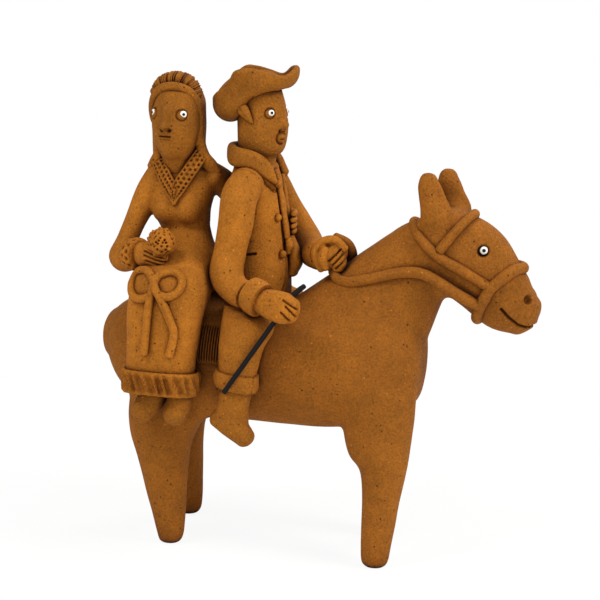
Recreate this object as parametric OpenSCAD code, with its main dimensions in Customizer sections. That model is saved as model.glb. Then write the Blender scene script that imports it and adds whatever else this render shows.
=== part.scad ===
// Hand-built clay group: a standing horse with a man in a hat and a woman side-saddle behind him.
// Every lump is a loft through a few key sections. A later lump is cut back by the earlier ones,
// with a thin line of slip left between them, and the stick slides in the man's right fist.

/* [Horse] */
// Height of the horse's back above the floor
back_z = 112; // [106:1:118]
// Height of the belly above the floor
belly_z = 56; // [52:1:60]
// Width of the barrel
barrel_w = 58; // [54:1:62]
// Distance from the hind feet to the front feet
wheelbase = 95; // [90:1:100]
// Distance from the near feet to the far feet
track_w = 44; // [40:1:48]
// Length of the rump behind the hind feet
rump_overhang = 39.5; // [36:0.5:43]
// Width of each flat sole
sole_d = 9.2; // [8:0.2:11]
// Thickness of the shanks
shank_d = 17; // [15:0.5:19]
// Thickness of the thighs
thigh_d = 30; // [27:0.5:33]
// Thickness of the front forearms
forearm_d = 18.6; // [16:0.2:21]
// Thickness of the shoulders
shoulder_d = 30; // [27:0.5:33]
// Height of the middle of the poll above the back
poll_rise = 23; // [20:0.5:26]
// Distance of the poll ahead of the front feet
poll_reach = 11.8; // [10:0.1:14]
// Depth of the neck at the poll
neck_top_d = 30; // [28:0.5:33]
// Width of the neck at the poll
neck_top_w = 26.6; // [24:0.2:29]
// Length of the head
head_l = 56; // [52:0.5:60]
// Depth of the head at the cheeks
head_d = 37.4; // [34:0.2:40]
// Width of the head at the cheeks
head_w = 26.4; // [24:0.2:29]
// Length of the ears
ear_l = 22; // [19:0.5:25]
// Width of the ears
ear_w = 14; // [12:0.5:16]
// Thickness of the tail
tail_d = 7; // [6:0.5:8]
// Thickness of the bridle straps
strap_d = 4.6; // [4:0.1:5.2]
// Thickness of the reins
rein_d = 4.9; // [4.3:0.1:5.5]
// Width of the horse's stamped eye sockets
horse_eye_d = 5.2; // [4.6:0.1:5.8]

/* [Saddle blanket] */
// Length of the blanket along the back
blanket_l = 38; // [34:1:42]
// Drop of the blanket's hem below the back
blanket_drop = 25; // [21:1:29]
// Thickness of the blanket
blanket_t = 2.4; // [1.8:0.1:3]

/* [Man] */
// Height of the man's neck above the horse's back
man_torso_h = 58; // [54:1:62]
// Depth of the coat at the hips
coat_d = 30; // [28:0.5:32]
// Width of the coat at the shoulders
coat_w = 34; // [32:0.5:36]
// Height of the man's head from neck to crown
man_head_h = 34; // [31:0.5:37]
// Width of the man's face
man_face_w = 20.4; // [18.5:0.1:22]
// Depth of the man's head
man_face_d = 22.4; // [20:0.1:24]
// Width of the riders' stamped eye sockets
rider_eye_d = 4.6; // [4.2:0.1:5]
// Length of the hat from its back to its front tip
hat_l = 38; // [35:0.5:41]
// Width of the hat between its turned-up sides
hat_w = 29; // [27:0.5:31]
// Height of the hat's turned-up sides
hat_side_h = 14.4; // [12.6:0.2:16]
// Thickness of the coat sleeves at the shoulder
sleeve_d = 16; // [14.6:0.2:17.4]
// Width of the turned-back sleeve cuffs
cuff_d = 14.4; // [13.4:0.2:15.6]
// Thickness of the fists
fist_d = 12.6; // [11.6:0.2:13.6]
// Height of the coat collar
collar_h = 8; // [7:0.2:9]
// Width of the buttons
button_d = 3; // [2.6:0.1:3.4]
// Thickness of the trouser legs below the knee
trouser_d = 15.6; // [14.2:0.2:17]
// Width of the trouser cuffs
trouser_cuff_d = 20; // [18.4:0.2:21.6]
// Height of the trouser cuffs
trouser_cuff_h = 10.4; // [9:0.2:12]
// Length of the boots
boot_l = 23; // [21:0.5:25]

/* [Stick] */
// Thickness of the stick
stick_d = 2.2; // [1.8:0.1:2.6]
// Length of the stick below the fist's middle
stick_lower_l = 44; // [40:0.5:47]
// Length of the stick above the fist's middle, up to the knot at its bend
stick_upper_l = 8; // [7.6:0.1:9]
// Length of the stick past its bend
stick_tip_l = 5.2; // [4:0.2:8]
// Angle of the stick's bend
stick_kink = 17; // [5:1:25]
// Width of the knot at the stick's bend
stick_knot_d = 2.7; // [2.6:0.1:3.2]
// Running clearance round the stick in the fist
stick_clearance = 0.15; // [0.1:0.01:0.25]

/* [Woman] */
// Distance of the woman's seat behind the man's seat
pillion_gap = 32; // [30:0.5:34]
// Height of the woman's neck above the horse's back
woman_torso_h = 55; // [52:1:58]
// Width of the bodice at the bust
bust_w = 26; // [24.4:0.2:27.6]
// Width of the waist
waist_w = 22.4; // [20.6:0.2:24]
// Width of the skirt at the knees
skirt_w = 35; // [33:0.5:37]
// Thickness of the hanging skirt
skirt_t = 20; // [18:0.5:22]
// Drop of the skirt's hem below the horse's back
skirt_drop = 33; // [30:0.5:36]
// Height of the frill
frill_h = 11; // [9.5:0.5:12.5]
// Number of flutes round the frill
frill_flutes = 20; // [14:1:24]
// Depth of each flute
flute_t = 0.8; // [0.4:0.1:1.2]
// Height of the woman's head from neck to crown
woman_head_h = 36; // [33:0.5:39]
// Width of the woman's face
woman_face_w = 21.2; // [19.4:0.2:23]
// Width of the veil beside the face
veil_w = 25.6; // [24:0.2:27.4]
// Thickness of the woman's sleeves
dress_sleeve_d = 13; // [12:0.2:14]
// Width of the lace cuffs
lace_cuff_d = 14; // [13:0.2:15]
// Width of the lace collar's strips
lace_w = 6.4; // [5.4:0.2:7.4]
// Thickness of the headband's roll
headband_d = 4.8; // [4.2:0.1:5.4]
// Thickness of the sash's coil
sash_d = 3.4; // [2.8:0.1:4]
// Width of the bouquet
bouquet_d = 12; // [10.6:0.2:13.4]
// Width of the shoes
shoe_d = 11; // [10:0.2:12]

/* [Clay] */
// Thickness of the slip between two luted pieces
slip = 0.1; // [0.05:0.01:0.2]
// Depth of the stamped eye sockets
eye_socket_depth = 1.2; // [0.8:0.1:1.6]

/* [Hidden] */

// Fired colours of the clay and the paint
horse_clay = "#9c5f2b";
rider_clay = "#b87836";
eye_white = "#f2efe6";
black_paint = "#1b1816";

// Directions, written once
along_x = [1, 0, 0];
along_y = [0, 1, 0];
along_z = [0, 0, 1];

// Main places of the horse
feet_mid_x = -14;
front_x = feet_mid_x + wheelbase / 2;
hind_x = feet_mid_x - wheelbase / 2;
rump_x = hind_x - rump_overhang;
trunk_z = (back_z + belly_z) / 2;
trunk_half_h = (back_z - belly_z) / 2;
flank = barrel_w / 2;
neck_base = [front_x - 18.5, 0, trunk_z + 11];
neck_base_half_d = 31;
neck_base_half_w = flank - 5;
neck_top = [front_x + poll_reach, 0, back_z + poll_rise];
head_root = neck_top + [4.7, 0, 8];
head_tilt = 36;
head_along = [cos(head_tilt), 0, -sin(head_tilt)];
head_up = [sin(head_tilt), 0, cos(head_tilt)];

// Main places of the riders
man_seat = [-30, 0, back_z];
man_neck = man_seat + [0, 0, man_torso_h];
man_crown = man_neck + [-1, 0, man_head_h];
woman_seat = man_seat + [-pillion_gap, -3, 0];
woman_neck = woman_seat + [-1.5, -1, woman_torso_h];
man_flank = [man_seat.x, -flank, back_z];
skirt_flank = [woman_seat.x, -flank, back_z];

// Pieces that reach farthest: the tail and the muzzle, the frill and the far trouser cuff
tail_inset = 2;
muzzle_reach = 1.9;
hem_out = 0.8;
frill_out = 2;
cuff_out = 7.4;
cuff_share = 0.47;
box_x = [rump_x + tail_inset - tail_d / 2, head_root.x + head_along.x * head_l + muzzle_reach];
box_y = [-(flank + skirt_t + hem_out + frill_out + flute_t), flank + cuff_out + cuff_share * trouser_cuff_d];

// The whole group stands with the middle of its box over the origin
stand = [-(box_x[0] + box_x[1]) / 2, -(box_y[0] + box_y[1]) / 2, 0];

// Smooth curve through key sections, with a few steps from one key to the next
function pick(keys, i) = keys[max(0, min(len(keys) - 1, i))];
function pick_round(keys, i) = keys[(i + len(keys)) % len(keys)];
function curve(a, b, c, d, t) =
    0.5 * (2 * b + (c - a) * t + (2 * a - 5 * b + 4 * c - d) * t * t + (3 * b - a - 3 * c + d) * t * t * t);
function smooth(keys, steps) = [
    for (i = [0 : len(keys) - 2])
        for (s = [0 : steps - 1])
            curve(pick(keys, i - 1), keys[i], keys[i + 1], pick(keys, i + 2), s / steps),
    keys[len(keys) - 1]];
function smooth_round(keys, steps) = [
    for (i = [0 : len(keys) - 1])
        for (s = [0 : steps - 1])
            curve(pick_round(keys, i - 1), keys[i], pick_round(keys, i + 1), pick_round(keys, i + 2), s / steps)];

// A key section is [x, y, z, half width, half height]
function centre(key) = [key[0], key[1], key[2]];
function key(place, a, b) = [place.x, place.y, place.z, a, b];
function keys_at(frame, rows) = [for (r = rows) [frame.x + r[0], frame.y + r[1], frame.z + r[2], r[3], r[4]]];
function round_keys(places, d) = [for (p = places) key(p, d / 2, d / 2)];
function grown(keys, by) = [for (k = keys) [k[0], k[1], k[2], k[3] + by, k[4] + by]];
function moved(k, by, share) = [k[0] + by.x, k[1] + by.y, k[2] + by.z, k[3] * share, k[4] * share];
function mirrored(rows) = [for (i = [len(rows) - 1 : -1 : 0]) [rows[i][0], rows[i][1], -rows[i][2]]];

// A round end is three shrinking sections, and a flat end is only pushed out by the growth
function end_cap(k, way, h, by, angles) =
    h > 0 ? [for (t = angles) moved(k, way * (h + by) * sin(t), cos(t))] : by > 0 ? [moved(k, way * by, 1)] : [];
function capped(keys, way0, way1, ends, by) = concat(
    end_cap(keys[0], way0, ends[0], by, [80, 55, 28]), keys,
    end_cap(keys[len(keys) - 1], way1, ends[1], by, [28, 55, 80]));

// One section is a ring of points on a squared-off ellipse
function squared(v, q) = sign(v) * pow(abs(v), 2 / q);
function ring(k, side, rise, sides, q) = [
    for (j = [0 : sides - 1])
        centre(k) + side * k[3] * squared(cos(360 * j / sides), q) + rise * k[4] * squared(sin(360 * j / sides), q)];
function flat_list(rings) = [for (r = rings) each r];
function unit(v) = v / norm(v);
function heading(keys, i, closed) = closed
    ? unit(centre(pick_round(keys, i + 1)) - centre(pick_round(keys, i - 1)))
    : unit(centre(pick(keys, i + 1)) - centre(pick(keys, i - 1)));

// Closed skin over a list of rings
module skin(rings, closed = false) {
    n = len(rings[0]);
    m = len(rings);
    last = closed ? m - 1 : m - 2;
    walls = [
        for (i = [0 : last])
            for (j = [0 : n - 1])
                let (a = i * n + j, b = i * n + (j + 1) % n, d = ((i + 1) % m) * n)
                    each [[a, d + j, b], [b, d + j, d + (j + 1) % n]]];
    lids = closed ? [] : [
        for (j = [0 : n - 1])
            each [[m * n, j, (j + 1) % n], [m * n + 1, (m - 1) * n + (j + 1) % n, (m - 1) * n + j]]];
    middles = closed ? [] : [for (r = [rings[0], rings[m - 1]]) [for (p = r) 1] * r / n];
    polyhedron(points = concat(flat_list(rings), middles), faces = concat(walls, lids));
}

// Loft with parallel sections, from the first key to the last
module stack(keys, side = along_x, rise = along_y, ends = [0, 0], steps = 3, sides = 18, q = 2.2, by = 0) {
    way = cross(side, rise);
    all = capped(grown(smooth(keys, steps), by), -way, way, ends, by);
    skin([for (k = all) ring(k, side, rise, sides, q)]);
}

// Loft with its sections square to its path
module coil(keys, ref = along_y, ends = [0, 0], steps = 3, sides = 10, q = 2, by = 0, closed = false) {
    path = grown(closed ? smooth_round(keys, steps) : smooth(keys, steps), by);
    start = -heading(path, 0, closed);
    finish = heading(path, len(path) - 1, closed);
    all = closed ? path : capped(path, start, finish, ends, by);
    skin([
        for (i = [0 : len(all) - 1])
            let (way = heading(all, i, closed), side = unit(cross(ref, way)))
                ring(all[i], side, cross(way, side), sides, q)], closed);
}

// First child cut back by the others, as one skin
module carved() {
    resize([0, 0, 0]) difference() {
        children(0);
        children([1 : $children - 1]);
    }
}

// Several lumps pressed into one skin
module pressed() {
    resize([0, 0, 0]) union() children();
}

// A piece where it stands in the group
module placed(tint) {
    color(tint) translate(stand) children();
}

// Horse: trunk and neck
trunk_keys = [
    [rump_x + 4, 0, trunk_z + 6, 0.45 * flank, 0.4 * trunk_half_h],
    [rump_x + 11, 0, trunk_z + 3, 0.74 * flank, 0.7 * trunk_half_h],
    [hind_x - 17, 0, trunk_z + 1, 0.9 * flank, 0.92 * trunk_half_h],
    [hind_x + 2, 0, trunk_z, flank, trunk_half_h],
    [feet_mid_x - 16, 0, trunk_z, flank, trunk_half_h],
    [feet_mid_x + 14, 0, trunk_z + 1, flank, trunk_half_h + 1],
    [front_x - 13.5, 0, trunk_z + 3, 0.96 * flank, trunk_half_h + 1],
    [front_x + 2.5, 0, trunk_z + 5, 0.82 * flank, 0.95 * trunk_half_h],
    [front_x + 10.5, 0, trunk_z + 6, 0.6 * flank, 0.7 * trunk_half_h]];
module trunk_form(by = 0) stack(trunk_keys, along_y, along_z, [4, 4], 2, 20, 2.2, by);

function blend(a, b, t) = a + (b - a) * t;
function neck_key(t) = key(blend(neck_base, neck_top, t),
    blend(neck_base_half_d, neck_top_d / 2, t), blend(neck_base_half_w, neck_top_w / 2, t));
module neck_form(by = 0) coil([for (t = [0, 0.35, 0.7, 1]) neck_key(t)], along_y, [6, 6], 2, 18, 2.1, by);

// Horse: legs, each from its flat sole up into the trunk
near_hind_foot = [hind_x, -track_w / 2, 0];
far_hind_foot = [hind_x - 5, track_w / 2, 0];
near_front_foot = [front_x, -track_w / 2, 0];
far_front_foot = [front_x - 6.5, track_w / 2, 0];
hind_rows = [
    [0, 0, sole_d / 2, sole_d / 2],
    [0.04, 0, sole_d / 2 + 1.3, sole_d / 2 + 1.3],
    [0.23, -2, shank_d / 2, shank_d / 2],
    [0.49, -5, (shank_d + thigh_d) / 4, (shank_d + thigh_d) / 4],
    [0.64, -6, thigh_d / 2, thigh_d / 2 - 1.5],
    [0.82, -3, thigh_d / 2 + 4, thigh_d / 2 - 2],
    [1, 0, thigh_d / 2 + 3, thigh_d / 2 - 3]];
front_rows = [
    [0, 0, sole_d / 2, sole_d / 2],
    [0.05, 0, sole_d / 2 + 1.6, sole_d / 2 + 1.6],
    [0.38, 0.7, forearm_d / 2, forearm_d / 2],
    [0.6, -0.5, (forearm_d + shoulder_d) / 4, (forearm_d + shoulder_d) / 4],
    [0.77, -2.5, shoulder_d / 2, shoulder_d / 2 - 2.5],
    [1, -3, shoulder_d / 2 + 2, shoulder_d / 2 - 3]];
function hip_of(foot) = [foot.x, sign(foot.y) * (flank - 14), trunk_z - 6];
function leg_keys(foot, rows) = [
    for (r = rows)
        let (place = foot + (hip_of(foot) - foot) * r[0])
            [place.x + r[1], place.y, place.z, r[2], r[3]]];
module leg_form(foot, rows, by = 0) stack(leg_keys(foot, rows), ends = [0, 3], steps = 1, sides = 12, q = 2, by = by);

// Horse: head. A place on it is a share of its length, a rise from its axis and a share of its half width
function on_head(share, rise, across = 0) =
    head_root + head_along * head_l * share + head_up * rise + along_y * across * head_w / 2;
head_rows = [
    [0, 0, 0.96, 0.98], [0.18, 1.3, 1, 1], [0.345, 2.7, 0.97, 1], [0.59, 0.5, 0.82, 0.9],
    [0.745, -0.5, 0.72, 0.84], [0.895, -0.2, 0.51, 0.72]];
head_keys = [for (r = head_rows) key(on_head(r[0], r[1]), r[2] * head_d / 2, r[3] * head_w / 2)];
module head_form(by = 0) coil(head_keys, along_y, [6, 5.5], 2, 16, 2.15, by);
eye_share = 0.335;
eye_rise = 12.4;
module at_horse_eyes(inset) {
    for (s = [-1, 1])
        translate(on_head(eye_share, eye_rise, s * 0.82) - along_y * s * inset)
            rotate([s * 90, 0, 0])
                mirror([0, 0, 1]) children();
}

module ear_form(root, lean, by = 0) stack(keys_at(root, [
    [0, 0, 0, ear_w / 2, 4.8],
    [-0.1 * lean, 0, 0.3 * ear_l, ear_w / 2, 4.6],
    [-0.58 * lean, 0, 0.57 * ear_l, 0.42 * ear_w, 4],
    [-0.84 * lean, 0, 0.76 * ear_l, 0.33 * ear_w, 3.4],
    [-lean, 0, 0.9 * ear_l, 0.2 * ear_w, 2.4]]), ends = [0, 0.1 * ear_l], steps = 1, sides = 10, by = by);
near_ear_root = head_root + [1.2, -8, 8];
far_ear_root = head_root + [7, 8, 8.5];
ear_lean = 4.2;
module near_ear_form(by = 0) ear_form(near_ear_root, ear_lean, by);
module far_ear_form(by = 0) ear_form(far_ear_root, ear_lean, by);

tail_keys = [
    [rump_x + 4.2, 9, trunk_z + 14, tail_d / 2, tail_d / 2],
    [rump_x + tail_inset, 11, trunk_z + 7, tail_d / 2, tail_d / 2],
    [rump_x + 3, 13, trunk_z - 4, 0.48 * tail_d, 0.48 * tail_d],
    [rump_x + 8, 16.5, trunk_z - 17, 0.42 * tail_d, 0.42 * tail_d],
    [rump_x + 13, 19.5, trunk_z - 28, 0.3 * tail_d, 0.3 * tail_d]];
module tail_form(by = 0) coil(tail_keys, along_y, [2.5, 1.5], 2, 8, 2, by);

// Horse: bridle, as rolled coils pressed on the head. Rows are places on the head
crown_rows = [[0.55, 2, -0.94], [0.32, 0.5, -1.03], [0.15, -1.3, -1.03], [0.01, -1.5, -1], [-0.136, -0.6, -0.74],
    [-0.226, 0.6, 0]];
brow_rows = [[0.079, 0.7, -1.03], [0.079, 10, -0.93], [0.085, 16.5, -0.57], [0.098, 20, 0]];
nose_rows = [[0.65, 15.4, 0], [0.605, 13, -0.55], [0.58, 8.4, -0.82], [0.56, 2, -0.94], [0.573, -3, -0.93],
    [0.59, -8, -0.8], [0.615, -12.3, -0.53], [0.63, -14.4, 0]];
function without_ends(rows) = [for (i = [1 : len(rows) - 2]) rows[i]];
function both_sides(rows) = concat(rows, mirrored([for (i = [0 : len(rows) - 2]) rows[i]]));
function round_both(rows) = concat(rows, mirrored(without_ends(rows)));
function head_places(rows) = [for (r = rows) on_head(r[0], r[1], r[2])];
module crown_form(by = 0)
    coil(round_keys(head_places(both_sides(crown_rows)), strap_d), head_up, [1, 1], 1, 7, 2, by);
module brow_form(by = 0)
    coil(round_keys(head_places(both_sides(brow_rows)), strap_d), head_along, [1, 1], 1, 7, 2, by);
module nose_form(by = 0)
    coil(round_keys(head_places(round_both(nose_rows)), strap_d + 0.4), head_along, steps = 1, sides = 7, by = by,
        closed = true);

// Man: hands first, because the reins and the stick end in them
left_fist = man_seat + [33.5, -4.5, 22];
right_fist = man_flank + [23, -11, 3.6];

near_rein_places = concat(
    [on_head(0.585, -7.2, -0.86)],
    [for (r = [[17, -15, -11.6], [9.7, -15.6, -7.4], [3.4, -15.5, -4.5], [-2.3, -15.5, -3.8], [-8.8, -15.6, -4.7],
        [-16.3, -15.8, -6.8], [-24.5, -15.4, -9.2], [-30.5, -13.6, -10.8]]) neck_top + r],
    [left_fist + [6, -6, -9.4], left_fist + [3, -3, -6.4]]);
far_rein_places = concat(
    [on_head(0.585, -7.2, 0.86)],
    [for (r = [[17, 15, -11.6], [9.7, 15.6, -7.4], [3.4, 15.6, -4.4], [-2.3, 15.6, -3.7], [-8.8, 15.6, -4.7],
        [-16.3, 15.8, -6.8], [-24.5, 15.4, -9.2], [-30, 13, -10]]) neck_top + r],
    [for (r = [[7.8, 9.5, -5.2], [9.2, 5.5, 0.4], [7.4, 2.5, 5.2], [2.4, 0.5, 7.8]]) left_fist + r]);
module near_rein_form(by = 0) coil(round_keys(near_rein_places, rein_d), along_z, [1, 1], 1, 8, 2, by);
module far_rein_form(by = 0) coil(round_keys(far_rein_places, rein_d), along_z, [1, 1], 1, 8, 2, by);

// Saddle blanket: a skin over the trunk, trimmed to its length and drop
module blanket_block(by = 0) {
    translate([man_seat.x + 8 - blanket_l - by, -barrel_w, back_z - blanket_drop - by])
        cube([blanket_l + 2 * by, 2 * barrel_w, 2 * blanket_drop]);
}
module blanket_form(by = 0) intersection() {
    trunk_form(slip + blanket_t + by);
    blanket_block(by);
}

// Man: torso and head
torso_rows = [
    [0, -0.07, 0.5, 0.5], [0, 0.07, 0.5, 0.51], [0, 0.21, 0.487, 0.485], [-0.5, 0.38, 0.46, 0.44],
    [-1, 0.59, 0.427, 0.44], [-1.8, 0.78, 0.4, 0.485], [-2, 0.9, 0.367, 0.5], [-2, 1, 0.31, 0.44]];
torso_keys = keys_at(man_seat, [for (r = torso_rows) [r[0], 0, r[1] * man_torso_h, r[2] * coat_d, r[3] * coat_w]]);
module torso_form(by = 0) stack(torso_keys, ends = [0, 4.7], steps = 1, sides = 16, q = 2.3, by = by);

man_head_rows = [
    [0, 0, 0.31, 0.34], [-0.3, 0.18, 0.38, 0.42], [0, 0.32, 0.46, 0.47], [0.4, 0.56, 0.5, 0.5],
    [-0.2, 0.79, 0.48, 0.49], [-1, 1, 0.42, 0.45]];
man_head_keys = keys_at(man_neck, [
    for (r = man_head_rows) [r[0], 0, r[1] * man_head_h, r[2] * man_face_d, r[3] * man_face_w]]);
module man_head_form(by = 0) stack(man_head_keys, ends = [2, 3], steps = 1, sides = 16, q = 2.2, by = by);
man_turn = -26;
man_eye_spread = 31;
module at_man_eyes(inset) {
    translate(man_neck + [0, 0, 0.735 * man_head_h])
        for (s = [-1, 1])
            rotate([0, 0, man_turn + s * man_eye_spread])
                translate([0.48 * man_face_d - inset, 0, 0])
                    rotate([0, 90, 0]) children();
}
module man_ears_form(by = 0) {
    ear_root = [man_neck.x - 1.6, -0.49 * man_face_w, man_neck.z + 0.69 * man_head_h];
    for (s = [0, 1])
        mirror([0, s, 0])
            coil(keys_at(ear_root, [[0, 0, 0, 1.6, 2.6], [-2.6, -0.9, 2.2, 1.5, 3.4], [-5.4, -1.6, 4.8, 1, 1.6]]),
                along_y, [1.2, 1.2], 1, 8, 2, by);
}

// Man: hat, a crown in a rolled brim that is turned up at the sides and droops at the back
brim_keys = [for (r = [
    [0.37, 0, 9.5, 4, 3.2], [0.25, -0.27, 8, 2.6, 4.2], [0, -0.41, 6.6, 2.4, hat_side_h / 2],
    [-0.25, -0.36, 2, 3.2, hat_side_h / 2 + 1], [-0.43, 0, -1.5, 5.4, hat_side_h / 2 + 1.6],
    [-0.25, 0.36, 2, 3.2, hat_side_h / 2 + 1], [0, 0.41, 6.6, 2.4, hat_side_h / 2], [0.25, 0.27, 8, 2.6, 4.2]])
    [man_crown.x + r[0] * hat_l, man_crown.y + r[1] * hat_w, man_crown.z - 3.5 + r[2], r[3], r[4]]];
module crown_lump(by = 0) stack(keys_at(man_crown, [
    [-1, 0, -5, 0.29 * hat_l, 0.39 * hat_w], [-1, 0, 1, 0.3 * hat_l, 0.4 * hat_w],
    [-1.5, 0, 5, 0.26 * hat_l, 0.36 * hat_w]]), ends = [0, 6.5], steps = 1, sides = 12, by = by);
module hat_form(by = 0) {
    coil(brim_keys, along_z, steps = 2, sides = 10, by = by, closed = true);
    crown_lump(by);
}

// Man: collar, placket and buttons on the coat
collar_rows = [[9.5, -6.5, -3.4, 0.35], [5, -10.5, -0.2, 1], [-1, -13, 1.8, 1], [-8, -10.5, 3.4, 1], [-12.5, 0, 6.4, 1],
    [-8, 10.5, 3.4, 1], [-1, 13, 1.8, 1], [5, 10.5, 0, 1], [9.5, 6.5, -2.4, 0.5]];
module collar_form(by = 0) coil([for (r = collar_rows)
    key(man_neck + [r[0], r[1], r[2]], 1.8, r[3] * collar_h / 2)], along_z, [1, 1], 1, 8, 2.4, by);
placket_keys = keys_at(man_neck, [
    [8.6, -2, -3, 1.3, 2.2], [10.4, -2, -12, 1.3, 2.2], [12.3, -2, -21, 1.3, 2.2], [13.6, -2, -27, 1.3, 2.1]]);
knot_keys = keys_at(man_neck, [[13.8, -2, -35, 1.6, 1.9], [14.2, -2, -32, 1.8, 2.2], [13.8, -2, -29.4, 1.6, 1.8]]);
module placket_form(by = 0) {
    coil(placket_keys, along_y, [0.6, 1.2], 1, 8, 2.4, by);
    stack(knot_keys, ends = [1, 1], steps = 1, sides = 8, by = by);
}
button_places = [man_neck + [9.2, -6.4, -5.5], man_neck + [10.2, -6.5, -21], man_neck + [12.4, -6.5, -36.5]];

// Man: arms. The rows of a sleeve run from the shoulder to the wrist
right_sleeve_keys = [
    key(man_neck + [-2, -0.4 * coat_w, -2], 0.48 * sleeve_d, 0.48 * sleeve_d),
    key(man_neck + [-3.4, -0.62 * coat_w, -9], sleeve_d / 2, sleeve_d / 2),
    key(man_neck + [-4, -0.69 * coat_w, -22], 0.48 * sleeve_d, 0.48 * sleeve_d),
    key(man_neck + [-5.6, -0.74 * coat_w, -33], 0.44 * sleeve_d, 0.44 * sleeve_d),
    key(right_fist + [-29, 11.5, 10.6], 0.46 * sleeve_d, 0.46 * sleeve_d),
    key(right_fist + [-23, 8.2, 4.2], 0.42 * sleeve_d, 0.42 * sleeve_d),
    key(right_fist + [-16, 5, 3.8], 0.4 * sleeve_d, 0.4 * sleeve_d)];
module right_sleeve_form(by = 0) coil(right_sleeve_keys, along_y, [5, 0], 2, 10, 2, by);
right_cuff_keys = [
    key(right_fist + [-16.6, 5.4, 4.4], cuff_d / 2 - 0.6, cuff_d / 2 - 0.6),
    key(right_fist + [-13.6, 4, 3.4], cuff_d / 2, cuff_d / 2),
    key(right_fist + [-10.4, 2.6, 2.2], cuff_d / 2 - 0.6, cuff_d / 2 - 0.6)];
module right_cuff_form(by = 0) coil(right_cuff_keys, along_y, [0, 0], 2, 14, 2, by);
right_hand_keys = [
    key(right_fist + [-12, 3, 2.6], 0.4 * fist_d, 0.4 * fist_d),
    key(right_fist + [-5.6, 1, 1.2], 0.5 * fist_d, 0.46 * fist_d),
    key(right_fist + [0.6, -0.4, 0.2], 0.52 * fist_d, 0.46 * fist_d),
    key(right_fist + [4, -0.8, -0.2], 0.4 * fist_d, 0.36 * fist_d)];
module right_hand_form(by = 0) coil(right_hand_keys, along_y, [0, 2.4], 2, 10, 2.2, by);

left_sleeve_keys = [
    key(man_neck + [-2, 0.4 * coat_w, -2], 0.48 * sleeve_d, 0.48 * sleeve_d),
    key(man_neck + [-0.5, 0.68 * coat_w, -10], sleeve_d / 2, sleeve_d / 2),
    key(man_neck + [7, 0.76 * coat_w, -23], 0.47 * sleeve_d, 0.47 * sleeve_d),
    key(left_fist + [-17.5, 26, 2.6], 0.45 * sleeve_d, 0.45 * sleeve_d),
    key(left_fist + [-10.5, 14.5, -1.6], 0.42 * sleeve_d, 0.42 * sleeve_d),
    key(left_fist + [-7, 7, -1.2], 0.4 * sleeve_d, 0.4 * sleeve_d)];
module left_sleeve_form(by = 0) coil(left_sleeve_keys, along_z, [5, 0], 2, 10, 2, by);
left_cuff_keys = [
    key(left_fist + [-7.8, 8.6, -1.4], cuff_d / 2 - 0.8, cuff_d / 2 - 0.8),
    key(left_fist + [-5.6, 5.6, -0.9], cuff_d / 2 - 0.2, cuff_d / 2 - 0.2),
    key(left_fist + [-3.6, 2.8, -0.4], cuff_d / 2 - 0.8, cuff_d / 2 - 0.8)];
module left_cuff_form(by = 0) coil(left_cuff_keys, along_z, [0, 0], 2, 14, 2, by);
left_hand_keys = [
    key(left_fist + [-4.4, 3.6, -0.6], 0.42 * fist_d, 0.42 * fist_d),
    key(left_fist + [-0.5, 0, 0.4], 0.5 * fist_d, 0.54 * fist_d),
    key(left_fist + [3.6, -1.8, 0.2], 0.48 * fist_d, 0.58 * fist_d),
    key(left_fist + [6.4, -2.4, -0.8], 0.38 * fist_d, 0.44 * fist_d)];
module left_hand_form(by = 0) coil(left_hand_keys, along_z, [0, 2.4], 2, 10, 2.2, by);

// Man: legs, written for the near side and mirrored for the far one
trouser_keys = keys_at(man_flank, [
    [2, -7.2, -29, trouser_d / 2, 0.48 * trouser_d],
    [3.2, -6.2, -17, trouser_d / 2 + 1.7, 0.54 * trouser_d],
    [5, -4.2, -9, trouser_d / 2 + 3.6, 0.6 * trouser_d],
    [4.4, 0, -3.5, trouser_d / 2 + 3.4, 0.66 * trouser_d],
    [1, 5, 0.5, trouser_d / 2 + 1, 0.6 * trouser_d]]);
module trouser_form(by = 0) stack(trouser_keys, ends = [0, 2], steps = 1, sides = 14, by = by);
trouser_cuff_place = man_flank + [1.8, -cuff_out, -30.3];
module trouser_cuff_form(by = 0) stack(keys_at(trouser_cuff_place, [
    [0.3, 0, -trouser_cuff_h / 2, 0.45 * trouser_cuff_d, 0.42 * trouser_cuff_d],
    [0, 0, 0, trouser_cuff_d / 2, cuff_share * trouser_cuff_d],
    [0.4, 0.2, trouser_cuff_h / 2, 0.46 * trouser_cuff_d, 0.44 * trouser_cuff_d]]),
    steps = 2, sides = 14, by = by);
boot_keys = keys_at(trouser_cuff_place, [
    [0.6, 0.4, -3, 0.3 * boot_l, 0.29 * boot_l], [-1.2, 0, -12, 0.3 * boot_l, 0.29 * boot_l],
    [-1.6, -0.3, -18, 0.33 * boot_l, 0.27 * boot_l]]);
foot_keys = keys_at(trouser_cuff_place, [
    [-8, 0.6, -17.5, 4.4, 4.6], [-3, -0.3, -19.4, 5.4, 5.6], [2, -1.6, -22, 5.2, 5.6], [5.6, -2.8, -24.6, 4.4, 4.6]]);
module boot_form(by = 0) {
    stack([boot_keys[2], boot_keys[1], boot_keys[0]], ends = [3, 0], steps = 1, sides = 12, by = by);
    coil(foot_keys, along_y, [3, 3.4], 1, 10, 2, by);
}
module far_side() mirror(along_y) children();

// Stick: straight through the fist, with a knot and a bent tip above it
stick_way = unit([0.516, 0.213, 0.829]);
stick_tilt = acos(stick_way.z);
stick_turn = atan2(stick_way.y, stick_way.x);
module along_stick() {
    translate(right_fist) rotate([0, stick_tilt, stick_turn]) children();
}

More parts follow.
